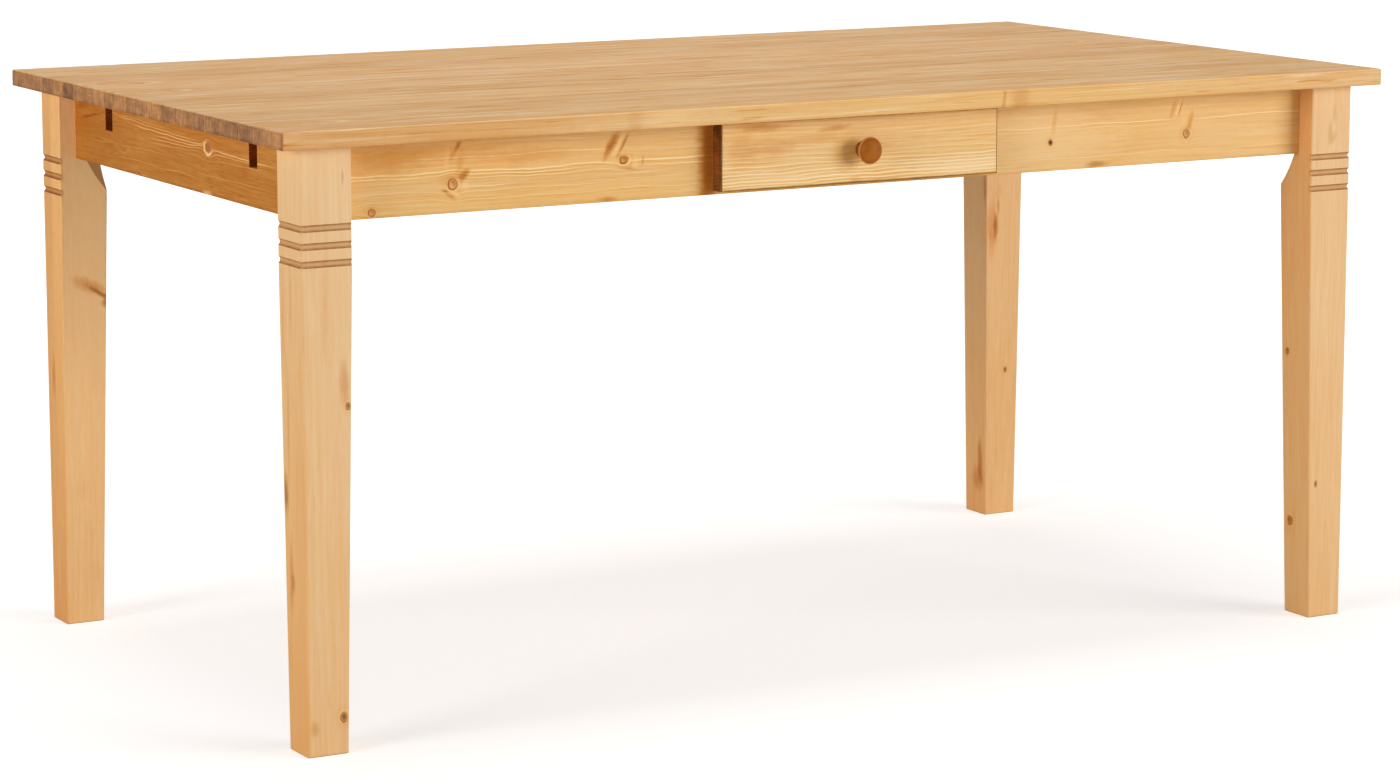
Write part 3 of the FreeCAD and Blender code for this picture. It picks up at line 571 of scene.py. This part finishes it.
def at(u, v, radius_u, radius_v, **rest):
    """A knot: its place along and across the grain and its half size, in mm."""
    return dict(at_u=u, at_v=v, radius_u=radius_u, radius_v=radius_v, **rest)


def mark(u, v, radius_u, radius_v, strength, colour, **rest):
    """A patch of another tone, placed like a knot."""
    return at(u, v, radius_u, radius_v, strength=strength, mark_colour=colour, **rest)


def line(v, width, strength, **rest):
    """A thin pale line along the grain."""
    return dict(at_v=v, width=width, strength=strength, **rest)


def top_streak(u, v, radius_u, radius_v, strength):
    """A short brown streak in the tabletop's upper face."""
    return mark(u, v, radius_u, radius_v, strength, (176, 118, 66), **STRAIGHT)


# Tabletop boards, drawer side first: pith (across from the board's middle, and below it), rise, seed, tone,
# and how light the cut end has stayed.
TOP_BOARDS = (
    ((-40, -70), 0.01, 3.1, (236, 191, 135), 0.98),
    ((60, -95), -0.014, 8.2, (231, 185, 129), 0.99),
    ((-20, -45), 0.018, 5.7, (238, 194, 139), 1.04),
    ((90, -120), -0.008, 2.9, (230, 184, 129), 1.07),
    ((10, -60), 0.012, 11.3, (236, 191, 138), 1.05),
    ((-80, -100), 0.006, 6.1, (240, 195, 142), 0.98),
    ((30, -50), -0.016, 9.4, (232, 187, 134), 0.95),
    ((-60, -85), 0.011, 12.8, (237, 193, 140), 0.94),
)
SWIRL = dict(flesh_colour=(238, 192, 142), rim_colour=(190, 132, 76), rim=0.42, strength=0.6, halo=0.7,
             halo_colour=(250, 214, 166), push=1.6)
TOP_KNOTS = {
    1: [at(-736, -372, 26, 9, **SWIRL)],
    4: [at(701, -16, 24, 10, turn=14, **SWIRL)],
    5: [at(-754, 70, 26, 11, turn=8, **SWIRL), at(674, 101, 20, 8, **SWIRL)],
    6: [at(-758, 196, 30, 13, turn=-6, **SWIRL)],
}
top_low, top_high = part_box("tabletop_board_1")
TOP_MIDDLE = (top_low.z + top_high.z) * 500  # mm, halfway through the boards
FRONT_EDGE = dict(at_w=TOP_MIDDLE, lean_v=0)  # for marks on the long edge over the drawer
TOP_MARKS = {
    1: [mark(-640, -456, 230, 12, 0.36, (214, 150, 66), **FRONT_EDGE),
        mark(160, -458, 620, 12, 0.42, (246, 204, 124), **FRONT_EDGE),
        mark(197, -456, 3, 8, 0.45, (196, 134, 78), **FRONT_EDGE),
        mark(222, -456, 15, 12, 0.4, (206, 144, 86), **FRONT_EDGE),
        mark(-288, -456, 34, 10, 0.4, (248, 210, 150), **FRONT_EDGE),
        mark(-345, -456, 12, 10, 0.25, (210, 150, 90), **FRONT_EDGE),
        top_streak(-128, -368, 50.4, 2.5, 0.42)],
    2: [top_streak(-485, -300, 45.6, 3.7, 0.61), top_streak(-379, -280, 36, 2.5, 0.42),
        top_streak(43, -307, 62.4, 3.1, 0.42)],
    3: [top_streak(180, -133, 55.2, 3.7, 0.61)],
    4: [top_streak(-680, -4, 60, 3.1, 0.49)],
    5: [top_streak(-130, 38, 52.8, 3.1, 0.49), top_streak(-362, 61, 72, 3.1, 0.42)],
    6: [mark(-756, 202, 44, 10, 0.42, (250, 216, 170), **STRAIGHT),
        top_streak(100, 141, 72, 5.6, 0.61), top_streak(-378, 153, 84, 3.7, 0.61),
        top_streak(-472, 176, 62.4, 3.1, 0.55)],
    7: [top_streak(-406, 271, 79.2, 5, 0.61)],
}
for index, (pith, rise, seed, early, cut_tone) in enumerate(TOP_BOARDS, 1):
    node = "tabletop_board_%d" % index
    low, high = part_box(node)
    middle = (low.y + high.y) * 500
    pine(node, "oiled_pine_top_%d" % index, "XYZ", seed, (middle + pith[0], TOP_MIDDLE + pith[1]),
         early_colour=early, late_colour=(203, 147, 92), ring=3.4, rise=rise, wander=34, contrast=0.3,
         spread=0.16, reach=0.5, bands=0.25, band_colour=(221, 163, 110), fibres=1.6, streaks=2.3,
         stain=0.95, blocks=1, end_colour=[c * cut_tone for c in (195, 139, 86)],
         mauve_colour=[c * cut_tone for c in (150, 105, 77)], cut=(0.25, 0.8),
         knots=TOP_KNOTS.get(index, ()), marks=TOP_MARKS.get(index, ()), rough=0.64)

# Front apron: three knots left of the drawer, two of them with cross grain above, a painted shadow beside the
# drawer front, and a paler stretch right of it with two small knots. The back apron is the same wood.
FRONT = dict(early_colour=(240, 195, 124), late_colour=(214, 155, 79), bands=0.3, band_colour=(220, 160, 92),
             end_colour=(140, 86, 40), mauve_colour=(112, 66, 34))
FRONT_KNOTS = [
    at(-569.6, 681.6, 5.8, 6.2, rim=1, halo=0.6, strength=0.5, flesh_colour=(232, 158, 86),
       rim_colour=(160, 82, 20)),
    at(-334, 697, 5.8, 4.3, flesh_colour=(212, 138, 60), rim_colour=(146, 74, 12), halo=0.9, rim=1),
    at(-677.5, 653.5, 5, 4.2, flesh_colour=(220, 150, 78), halo=0.2, rim=0.95),
    at(304.7, 683.9, 3.2, 3.6, pit=1, halo=0.35, flesh_colour=(190, 120, 60)),
    at(525, 683.7, 4.8, 6, flesh_colour=(212, 146, 88), halo=0.4, rim=0.85),
]
FRONT_MARKS = [
    # above the knot at -570, beside it and below it
    mark(-562, 728, 6, 3.4, 0.9, (164, 102, 32), turn=50),
    mark(-568, 719, 11, 3, 0.4, (206, 140, 66), turn=55),
    mark(-577, 714, 16, 4, 0.5, (250, 206, 140), turn=84),
    mark(-560, 700, 22, 5, 0.35, (214, 146, 66), turn=80),
    mark(-554, 692, 9, 5, 0.95, (186, 116, 34), turn=52),
    mark(-553, 679, 6, 6, 0.55, (255, 212, 150)),
    mark(-565, 669, 6, 2.4, 0.7, (255, 212, 146), turn=-30),
    mark(-580, 673.5, 5, 1.6, 0.7, (176, 108, 40), turn=-10),
    mark(-573, 667, 9, 2.4, 0.5, (196, 128, 56), turn=-34),
    # above the knot at -334, beside it and below it
    mark(-350, 719, 15, 5.5, 1, (176, 108, 30), turn=58),
    mark(-357, 708, 12, 4, 0.6, (196, 128, 48), turn=62),
    mark(-341, 717, 19, 2.6, 0.9, (250, 206, 138), turn=60),
    mark(-334, 718, 16, 2.2, 0.62, (158, 92, 26), turn=60),
    mark(-345, 697, 7, 4, 0.5, (250, 208, 140), turn=-6),
    mark(-318, 693, 5, 9, 0.55, (252, 210, 144)),
    mark(-307, 695, 1.8, 6.5, 0.5, (204, 138, 66), turn=-10),
    mark(-326, 686, 14, 2.2, 0.5, (200, 132, 58), turn=-8),
    mark(-356, 650, 13, 3, 0.6, (184, 118, 48)),
    # broad tones; two at the left of the upper edge are painted shade under the tabletop's overhang, and the
    # warm bands at the drawer front and at the right leg are painted shadow cast by them
    mark(-470, 712, 60, 9, 0.35, (224, 158, 88)),
    # painted shade under the tabletop's overhang, at the left
    mark(-660, 714, 60, 18, 0.55, (208, 146, 72)),
    mark(-600, 722, 110, 12, 0.35, (214, 152, 78)),
    # painted shadow, cast by the drawer front and by the right leg
    mark(-214, 694, 14, 120, 1, (192, 108, 16), lean_u=0),
    mark(716, 694, 14, 120, 0.16, (170, 98, 20), lean_u=0),
    mark(300, 690, 110, 60, 0.5, (248, 212, 156)),
    mark(560, 690, 150, 60, 0.3, (246, 208, 150)),
    # above and beside the two knots on the right, and two short streaks at the lower edge
    mark(311, 712, 17, 4, 0.4, (226, 158, 90), turn=84),
    mark(503, 718, 13, 3.4, 0.6, (218, 148, 78), turn=68),
    mark(511, 719, 12, 2, 0.8, (252, 208, 146), turn=72),
    mark(515, 719, 12, 1.2, 0.7, (190, 118, 52), turn=72),
    mark(531, 699, 15, 4, 0.6, (212, 138, 66), turn=74),
    mark(520, 702, 12, 4, 0.4, (250, 206, 142), turn=80),
    mark(375.7, 651, 13, 4, 0.7, (166, 110, 40), turn=4),
    mark(392, 651, 14, 2.4, 0.4, (180, 118, 48), turn=4),
]
FRONT_LINES = [
    line(695.2, 1, 0.95, stop=-345), line(691, 0.8, 0.8, stop=-400),
    line(687, 0.7, 0.5, start=-560, stop=-330), line(677.5, 0.8, 0.8, start=-558, stop=-500),
    line(672, 0.7, 0.4, stop=-380), line(697.2, 1.1, 0.95, start=-318, stop=0),
    line(690.5, 0.9, 0.75, start=-300, stop=0), line(705, 0.8, 0.8, start=210, stop=500),
    line(699.5, 0.6, 0.5, start=210, stop=480), line(696, 0.8, 0.85, start=545, rise=0.012),
    line(662, 0.8, 0.35), line(713, 0.8, 0.45, start=-640, stop=-360),
]
pine("front_apron", "oiled_pine_apron_front", "XZY", 21.3, (705, -250), **FRONT, ring=3.6, rise=0.004,
     wander=22, contrast=0.3, knots=FRONT_KNOTS, marks=FRONT_MARKS, lines=FRONT_LINES)
BACK_KNOTS = [
    at(-488, 704, 7, 5.5), at(-102, 676, 8.5, 6.5, turn=12), at(236, 715, 4, 3.6, pit=1),
    at(562, 668, 7.5, 6.5, flesh_colour=(184, 116, 60)),
]
BACK_MARKS = [
    mark(-118, 705, 24, 6, 0.55, (172, 106, 46), turn=68),
    mark(-109, 706, 22, 2.6, 0.6, (240, 194, 126), turn=67),
    mark(575, 694, 18, 5, 0.5, (176, 112, 50), turn=64),
]
BACK_LINES = [line(690, 0.9, 0.8), line(684, 0.7, 0.5), line(722, 0.8, 0.6), line(660, 0.8, 0.5)]
pine("back_apron", "oiled_pine_apron_back", "XZY", 27.9, (650, 240), **FRONT, ring=3.9, rise=-0.006,
     wander=26, contrast=0.32, knots=BACK_KNOTS, marks=BACK_MARKS, lines=BACK_LINES)

# End aprons: a darker, deeper orange board, its darkness partly painted shade for its recess under the
# tabletop; the cut walls of the bearer slots are dark with oil.
END = dict(early_colour=(196, 130, 52), late_colour=(168, 97, 24), ring=4.6, wander=30, contrast=0.2,
           bands=0.3, band_colour=(182, 106, 32), fibres=0.85, reach=2.2, streaks=0.55, stain=1,
           end_colour=(150, 70, 22), mauve_colour=(124, 52, 14))
PALE_ORANGE = (240, 190, 118)
LEFT_KNOTS = [
    at(-98, 706, 8.5, 5.6, flesh_colour=(168, 112, 66), rim=0.12, halo=1.5, halo_colour=(250, 206, 142),
       strength=0.9, push=1.2),
]
LEFT_MARKS = [
    mark(-94, 648, 15, 4, 0.8, (244, 200, 136)),
    mark(250, 668, 12, 4, 0.35, (232, 172, 100)),
    mark(306, 710, 44, 2, 0.6, (136, 72, 14), turn=-9),
    mark(330, 722, 40, 5, 0.35, (160, 92, 26), turn=-10),
    mark(180, 716, 22, 2.6, 0.45, (236, 180, 104), turn=12),
    mark(330, 700, 150, 60, 0.3, (168, 98, 26)),
]
LEFT_LINES = [
    line(v, width, strength, start=start, stop=stop, rise=rise, line_colour=PALE_ORANGE)
    for v, width, strength, start, stop, rise in (
        (710, 0.8, 0.75, -80, 150, 0.01), (714, 0.7, 0.6, -60, 200, 0.016),
        (706, 0.7, 0.75, -80, 70, -0.012), (702, 0.7, 0.55, -76, 100, -0.03),
        (718, 0.6, 0.4, 60, 250, 0.01), (697, 0.7, 0.4, -50, 90, -0.04),
        (707, 0.9, 0.8, -290, -114, 0.02), (702, 0.8, 0.6, -260, -118, 0.01),
        (693, 0.7, 0.3, -220, -20, 0), (684, 0.7, 0.3, 60, 300, -0.02),
        (672, 0.7, 0.3, -300, -60, 0), (664, 0.7, 0.3, -60, 200, 0))
]
pine("left_end_apron", "oiled_pine_apron_left", "YZX", 33.1, (560, -690), **END, rise=0.02,
     knots=LEFT_KNOTS, marks=LEFT_MARKS, lines=LEFT_LINES)
RIGHT_KNOTS = [
    at(150, 688, 8, 6, turn=-10, flesh_colour=(184, 120, 66), halo=0.7,
       halo_colour=(244, 200, 132)),
    at(-305, 716, 4.4, 3.8, halo=0.4, halo_colour=PALE_ORANGE),
]
RIGHT_LINES = [line(v, 0.8, 0.6, line_colour=PALE_ORANGE) for v in (694, 682, 706, 662)]
pine("right_end_apron", "oiled_pine_apron_right", "YZX", 38.6, (830, 700), **END, rise=-0.016,
     knots=RIGHT_KNOTS, lines=RIGHT_LINES)

# Legs: each has its knots and then its marks. They lie on a face that looks along Y, or on one that looks
# along X if they have 'on_side'. What lies on an inner face says how deep that is.
LEG = dict(early_colour=(240, 197, 142), late_colour=(224, 171, 109), rise=0.006, wander=20, contrast=0.12,
           bands=0.3, band_colour=(230, 168, 104), streaks=0.35, fibres=0.55, spread=0.6, stain=0.85,
           end_colour=(190, 124, 64), mauve_colour=(166, 100, 46), cut=(0, 0.85), rubbed_and_lit=0.7)
SIDE = dict(on_side=True, **STRAIGHT)
INNER_FACE = dict(at_w=365, **STRAIGHT)  # of the back legs
PIT = dict(pit=0.6, halo=0.4, lean_u=0.4, lean_v=0)
SMALL_KNOT = dict(pit=0.3, halo=0.4, rim=0.8, lean_u=0.4, lean_v=0)
LEG_SPOTS = {
    "leg_front_left": ([
        at(426.4, -724.2, 4.4, 2.8, **PIT), at(46, -735.5, 5.6, 4.4, **PIT),
    ], [
        mark(454, -728.5, 28, 6, 0.55, (204, 136, 82)),
        mark(703, -727.5, 9, 1.8, 0.5, (176, 130, 84), **STRAIGHT),
        mark(560, -752, 80, 4, 0.25, (226, 158, 92), **STRAIGHT),
        mark(360, -768, 120, 3, 0.25, (250, 214, 158), **STRAIGHT),
        mark(316, -378, 24, 7, 0.75, (160, 112, 66), **SIDE),
        mark(208, -396, 12, 5, 0.45, (188, 130, 70), **SIDE),
        mark(552, -399, 42, 3.4, 0.4, (218, 154, 86), **SIDE),
        mark(36, -774, 9, 6, 0.4, (192, 138, 78), **STRAIGHT),
        mark(215, -391, 46, 5, 0.5, (206, 138, 74), **SIDE),
        mark(400, -388, 70, 4, 0.35, (208, 144, 82), **SIDE),
        mark(520, -376, 60, 3, 0.3, (214, 146, 84), **SIDE),
    ]),
    "leg_back_left": ([], [
        # painted light: two pale patches that lift the front face where the front apron shades it
        mark(660, -735, 150, 60, 0.8, (255, 214, 152), **INNER_FACE),
        mark(480, -748, 320, 90, 0.5, (255, 211, 152), at_w=368, **STRAIGHT),
        mark(470, -744, 9, 26, 0.6, (200, 128, 64), turn=24, **INNER_FACE),
        mark(458, -728, 3.4, 20, 0.85, (150, 84, 30), turn=34, **INNER_FACE),
        mark(466, -728, 3, 14, 0.6, (240, 184, 116), turn=34, **INNER_FACE),
        mark(444, -718, 6, 9, 0.7, (140, 78, 28), turn=20, **INNER_FACE),
        mark(341.6, 407.7, 26, 5, 0.45, (200, 136, 76), **SIDE),
    ]),
    "leg_front_right": ([
        at(370, -383, 4.6, 3.6, on_side=True, at_w=722, **SMALL_KNOT),
        at(129, -390, 6, 5, on_side=True, at_w=722, **SMALL_KNOT),
    ], [
        mark(188.5, 736.5, 5, 2.4, 1, (128, 74, 34), **STRAIGHT),
        mark(676, 747.4, 18, 3.4, 0.4, (192, 140, 86), **STRAIGHT),
        mark(702, 754, 14, 3, 0.3, (196, 146, 96), **STRAIGHT),
        mark(668, 752, 9, 5, 0.35, (196, 142, 90), turn=30, **STRAIGHT),
    ]),
    "leg_back_right": ([at(225.7, 760.5, 4.2, 2.6, at_w=365, **PIT)], [
        mark(455, 729, 38, 8, 0.55, (208, 130, 66), at_w=368, **STRAIGHT),
        mark(455, 736.6, 21, 4.6, 0.8, (164, 98, 34), at_w=368, **STRAIGHT),
        mark(486, 740.5, 13, 2.2, 0.55, (186, 116, 56), at_w=368, **STRAIGHT),
        mark(516, 371, 24, 3.4, 0.5, (176, 92, 40), at_w=717, **SIDE),
        mark(84, 391, 34, 7, 0.55, (180, 100, 44), at_w=727, **SIDE),
        mark(56, 397, 19, 15, 0.45, (188, 108, 58), at_w=727, **SIDE),
    ]),
}
# Each leg's pith, ring width, seed and tones, partly painted light and shade (as leg_oil_and_shade takes
# them).
LEG_WOOD = {
    "leg_front_left": ((-840, -560), 2.6, 41.7, (0.09, -0.08, 0.00046)),
    "leg_back_left": ((-900, 300), 2.9, 47.2, (0.03, -0.4, 0.00015)),
    "leg_front_right": ((690, -600), 2.7, 52.4, (0.03, -0.27, -0.0004)),
    "leg_back_right": ((640, 560), 3, 58.8, (-0.02, 0.21, 0.00049)),
}
for node, (pith, ring, seed, leg_tones_and_light) in LEG_WOOD.items():
    knots, marks = LEG_SPOTS[node]
    pine(node, "oiled_pine_" + node, "ZXY", seed, pith, **LEG, ring=ring, knots=knots, marks=marks,
         leg_tones_and_light=leg_tones_and_light, shade_inward=(1 if "left" in node else -1, 1 if "front" in node else -0.6))

# Drawer front: straight even rings, arched a little over its length, and pale lines in its lower half. Its
# last three marks are thin lines of painted shade along its upper, right and lower arrises, the upper one in
# the gap under the tabletop; the right one is also the end grain's dark oil.
DRAWER_LINES = [
    line(v, width, strength, rise=rise, line_colour=(255, 230, 184))
    for v, width, strength, rise in (
        (653.5, 0.8, 0.6, 0.004), (657.5, 0.8, 0.8, 0.006), (662, 1, 0.9, 0.008),
        (666.5, 0.7, 0.7, 0.008), (671, 0.9, 0.8, 0.008), (675.5, 0.7, 0.7, 0.006),
        (680.5, 0.9, 0.7, 0.004), (686, 0.6, 0.5, 0), (692, 0.7, 0.4, 0), (700, 0.7, 0.3, -0.004))
]
DRAWER_MARKS = [
    mark(-150, 730, 36, 6, 0.55, (192, 124, 52), turn=-3),
    mark(-40, 724, 22, 4, 0.55, (186, 118, 50), turn=4),
    mark(-134, 704, 30, 12, 0.42, (206, 140, 66)),
    mark(-176, 702, 22, 20, 0.36, (208, 142, 68)),
    mark(-70, 712, 40, 7, 0.3, (210, 144, 72), turn=4),
    mark(20, 700, 26, 8, 0.25, (214, 148, 76)),
    mark(-10, 655, 10, 5, 0.35, (204, 140, 80)),
    # painted shadow of the knob: a warm tint where it falls
    mark(-22, 692, 20, 22, 0.45, (238, 176, 88)),
    mark(150, 664, 80, 12, 0.5, (255, 228, 182)),
    mark(-120, 664, 80, 10, 0.3, (253, 222, 168)),
    # painted shade lines along the upper, right and lower arrises
    mark(0, 738.2, 420, 2.4, 1, (116, 68, 18), lean_v=0),
    mark(206.8, 694, 1.8, 90, 0.9, (128, 78, 30), lean_u=0),
    mark(0, 652.4, 420, 1.6, 0.8, (122, 88, 44), lean_v=0),
]
pine("drawer_front", "oiled_pine_drawer_front", "XZY", 64.5, (1350, -300), early_colour=(242, 199, 128),
     late_colour=(205, 145, 71), ring=4.8, wander=30, contrast=0.34, bands=0.25, fibres=1.15,
     stain=0.97, end_colour=(146, 80, 22), mauve_colour=(104, 50, 12), cut=(0.02, 0.3),
     lines=DRAWER_LINES, marks=DRAWER_MARKS)

# Hidden joinery and the drawer box: the same pine, planed and left unoiled.
INNER = dict(early_colour=(236, 203, 156), late_colour=(212, 168, 112), wander=24,
             end_colour=(186, 138, 90), mauve_colour=(170, 122, 78), rough=0.6)
INNER_PIECES = {
    "cross_rail_left": "YZX", "cross_rail_right": "YZX", "drawer_guide_left": "YZX",
    "drawer_guide_right": "YZX", "drawer_runner_left": "YZX", "drawer_runner_right": "YZX",
    "drawer_kicker": "YXZ", "drawer_side_left": "YZX", "drawer_side_right": "YZX",
    "drawer_box_front": "XZY", "drawer_back": "XZY",
    "corner_block_front_left": "ZXY", "corner_block_front_right": "ZXY",
    "corner_block_back_left": "ZXY", "corner_block_back_right": "ZXY",
}
for count, (node, axes) in enumerate(INNER_PIECES.items()):
    low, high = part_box(node)
    centre = {k: (a + b) * 500 for k, a, b in zip("XYZ", low, high)}
    pith = (centre[axes[1]] + 20 - 9 * (count % 5), centre[axes[2]] - 60 - 11 * (count % 4))
    pine(node, "planed_pine_" + node, axes, 70 + count * 3.7, pith, **INNER, ring=3 + 0.3 * (count % 4),
         rise=0.01 - 0.004 * (count % 5))


# ------------------------------------------ other materials
def knob_material():
    """Turned beech stained warm brown: long grain runs into the drawer, so the head shows end grain."""
    wood = Wood("stained_turned_knob", "YXZ", 83.1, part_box("drawer_knob"))
    axis, tip = (wood.low["Z"] + wood.high["Z"]) / 2.0, wood.low["Y"]
    height = wood.w - axis
    across = length(wood.v, height)
    arc = length(wood.v + 46.0, height + 30.0) + wood.noise(0.02, 0.06, 1) * 3.0  # rings of a distant pith
    ring = wood.ramp((arc / 1.5).math("FRACT"), (0.0, 0.0), (0.7, 0.35), (0.92, 1.0), (1.0, 0.0))
    flecks = wood.noise(0.05, 1.6, 2, detail=3.0, rough=0.65)
    cloud = wood.noise(0.03, 0.07, 3)
    colour = wood.mix(ring * 0.35, srgb(172, 100, 27), srgb(138, 72, 13))
    colour = wood.scaled(colour, flecks * 0.7 + cloud * 0.9 + 1.0)
    # The head's pale rim, a dark line inside it, and painted shade round the neck under the head: radii, and
    # mm behind the tip.
    rim = across.bell(17.0, 0.8) * wood.u.step(tip + 3.3, tip + 7.3)
    colour = wood.mix(rim * 0.7, colour, srgb(218, 152, 84))
    dip = across.bell(15.6, 0.5) * wood.u.step(tip + 8.3, tip + 6.3)
    colour = wood.mix(dip * 0.5, colour, srgb(92, 46, 12))
    neck = across.step(13.0, 9.0) * wood.u.step(tip + 7.3, tip + 9.3)
    colour = wood.mix(neck * 0.5, colour, srgb(122, 66, 22))
    lathe = (wood.u * 9.0 + flecks * 2.0).math("SINE")
    return wood.finish(colour, flecks * 0.2 + ring * 0.06 + 0.5, flecks * 0.6 + lathe * 0.06 + ring * 0.2,
                       0.5, 0.0002, {"Specular IOR Level": 0.12})


def panel_material():
    """Thin birch plywood: pale rotary veneer with wide soft figure and ply lines at its edge."""
    wood = Wood("birch_plywood_panel", "XYZ", 91.7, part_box("drawer_bottom"))
    waves = (wood.noise(0.0035, 0.012, 1, detail=3.0, warp=1.2) * 26.0).math("SINE") * 0.5 + 0.5
    fibre = wood.noise(0.02, 0.9, 2, detail=3.0)
    flecks = wood.noise(0.12, 1.4, 3, detail=1.0).step(0.2, 0.3)
    colour = wood.mix(waves * 0.45, srgb(236, 212, 172), srgb(214, 180, 132))
    colour = wood.scaled(colour, fibre * 0.22 + 1.0)
    colour = wood.mix(flecks * 0.4, colour, srgb(176, 132, 86))
    ply = 1.33  # mm
    plies = ((wood.w - wood.low["Z"]) / ply).math("FRACT").step(0.42, 0.5)
    edge_on = abs(wood.facing["Z"]).step(0.6, 0.3)
    colour = wood.mix(plies * edge_on * 0.6, colour, srgb(170, 122, 78))
    return wood.finish(colour, fibre * 0.2 + 0.6, fibre + waves * 0.2, 0.4, 0.00015,
                       {"Specular IOR Level": 0.3})


def dowel_material():
    """Beech dowel: pinkish tan with short dark flecks."""
    wood = Wood("beech_dowel", "XYZ", 97.9)
    flecks = wood.noise(0.35, 0.9, 1, detail=3.0, rough=0.6)
    tone = wood.noise(0.04, 0.04, 2)
    dots = wood.noise(0.5, 1.2, 3, detail=1.0).step(0.16, 0.26)
    colour = wood.scaled(srgb(222, 178, 132), flecks * 0.3 + tone * 0.3 + 1.0)
    colour = wood.mix(dots * 0.5, colour, srgb(162, 108, 66))
    return wood.finish(colour, flecks * 0.2 + 0.5, flecks, 0.4, 0.00015, {"Specular IOR Level": 0.3})


def steel_material():
    """Bright zinc plate: faint crystal mottling, a yellow-blue cast and fine scratches."""
    metal = Wood("zinc_plated_steel", "XYZ", 103.3)
    place = metal.vector(metal.u, metal.v, metal.w)
    cells = metal.fed("ShaderNodeTexVoronoi", {"Vector": place, "Scale": 0.8})
    spangle = metal.value(cells.outputs["Distance"])
    cast = metal.noise(0.08, 0.08, 1)
    scratch = metal.noise(0.6, 4.0, 2, detail=3.0, rough=0.7)
    colour = metal.mix(cast * 1.6 + 0.5, srgb(196, 196, 190), srgb(206, 196, 168))
    colour = metal.scaled(colour, scratch * 0.18 - spangle * 0.1 + 1.0)
    return metal.finish(colour, scratch * 0.3 + spangle * 0.1 + 0.32, scratch + spangle * 0.4, 0.3, 0.0001,
                        {"Metallic": 1.0})


dress("drawer_knob", knob_material())
dress("drawer_bottom", panel_material())
beech = dowel_material()
for node in ("rail_dowels", "drawer_dowels", "drawer_stop_pins"):
    dress(node, beech)
steel = steel_material()
for node in ("hanger_bolts", "leg_washers", "leg_nuts", "corner_block_screws", "runner_screws",
             "kicker_screws", "tabletop_brackets", "bracket_screws_apron", "bracket_screws_top",
             "knob_screw", "drawer_front_screws"):
    dress(node, steel)


# ------------------------------------------ camera, floor and light
def put_in_scene(name, data):
    """A new object."""
    thing = bpy.data.objects.new(name, data)
    bpy.context.scene.collection.objects.link(thing)
    return thing


# The photo's camera, as fitted to the table's corners and edges.
lens = bpy.data.cameras.new("studio_camera")
lens.lens = 103.58
lens.sensor_width = 36.0
lens.shift_y = -0.06
lens.clip_end = 100.0
camera = put_in_scene("studio_camera", lens)
camera.location = Vector((-2.6958, -4.7656, 1.2744))
aim = Vector((0.0071, 0.0054, 0.4346)) - camera.location
camera.rotation_euler = aim.to_track_quat("-Z", "Y").to_euler()
bpy.context.scene.camera = camera


def studio_floor():
    """Pale warm floor that keeps the table's soft shadow; its glow evens it out to white for the camera."""
    reach = 30.0
    mesh = bpy.data.meshes.new("studio_floor")
    mesh.from_pydata([(-reach, -reach, 0), (reach, -reach, 0), (reach, reach, 0), (-reach, reach, 0)],
                     [], [(0, 1, 2, 3)])
    floor = put_in_scene("studio_floor", mesh)
    material = bpy.data.materials.new("studio_floor")
    material.use_nodes = True
    ground = Canvas(material.node_tree)
    place = ground.split(ground.add("ShaderNodeTexCoord").outputs["Object"])
    beyond_shadow = length(place["X"], place["Y"]).step(1.2, 4.5)
    strength = (beyond_shadow * 0.42 + 0.62) * ground.ray("Camera")
    matte = ground.fed("ShaderNodeBsdfDiffuse", {"Color": (0.85, 0.8, 0.74, 1.0)})
    glow = ground.fed("ShaderNodeEmission", {"Color": (0.93, 0.965, 1.0, 1.0), "Strength": strength})
    ground.show(ground.fed("ShaderNodeAddShader", {0: matte.outputs[0], 1: glow.outputs[0]}))
    mesh.materials.append(material)
    floor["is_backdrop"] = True


def softbox(name, place, target, width, height, share):
    """Large soft lamp. 'share' is the part of full light that it gives a surface facing it at its target."""
    lamp = bpy.data.lights.new(name, "AREA")
    lamp.shape = "RECTANGLE"
    lamp.size = width
    lamp.size_y = height
    away = Vector(place) - Vector(target)
    lamp.energy = share * math.pi ** 2 * away.length_squared
    lamp_object = put_in_scene(name, lamp)
    lamp_object.location = place
    lamp_object.rotation_euler = away.to_track_quat("Z", "Y").to_euler()


studio_floor()
softbox("key_softbox", (10.8, -11.3, 3.2), (0.0, -0.3, 0.6), 10.0, 5.8, 0.715)
softbox("left_softbox", (-11.8, -2.8, 2.4), (-0.7, 0.0, 0.5), 5.0, 5.0, 0.61)
softbox("top_softbox", (0.0, 0.2, 3.6), (0.0, 0.0, 0.7), 2.6, 1.8, 0.6)

world = bpy.data.worlds.new("studio_world")
bpy.context.scene.world = world
world.use_nodes = True
sky = Canvas(world.node_tree)
# White for the camera, dimmer in what the wood mirrors, and dimmer still as a light on it.
brightness = sky.ray("Camera") * 0.85 + sky.ray("Glossy") * 0.3 + 0.15
surround = sky.fed("ShaderNodeBackground", {"Color": (1.0, 1.0, 1.0, 1.0), "Strength": brightness})
sky.show(surround, "ShaderNodeOutputWorld")
bpy.context.scene.view_settings.view_transform = "Standard"

low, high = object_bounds()
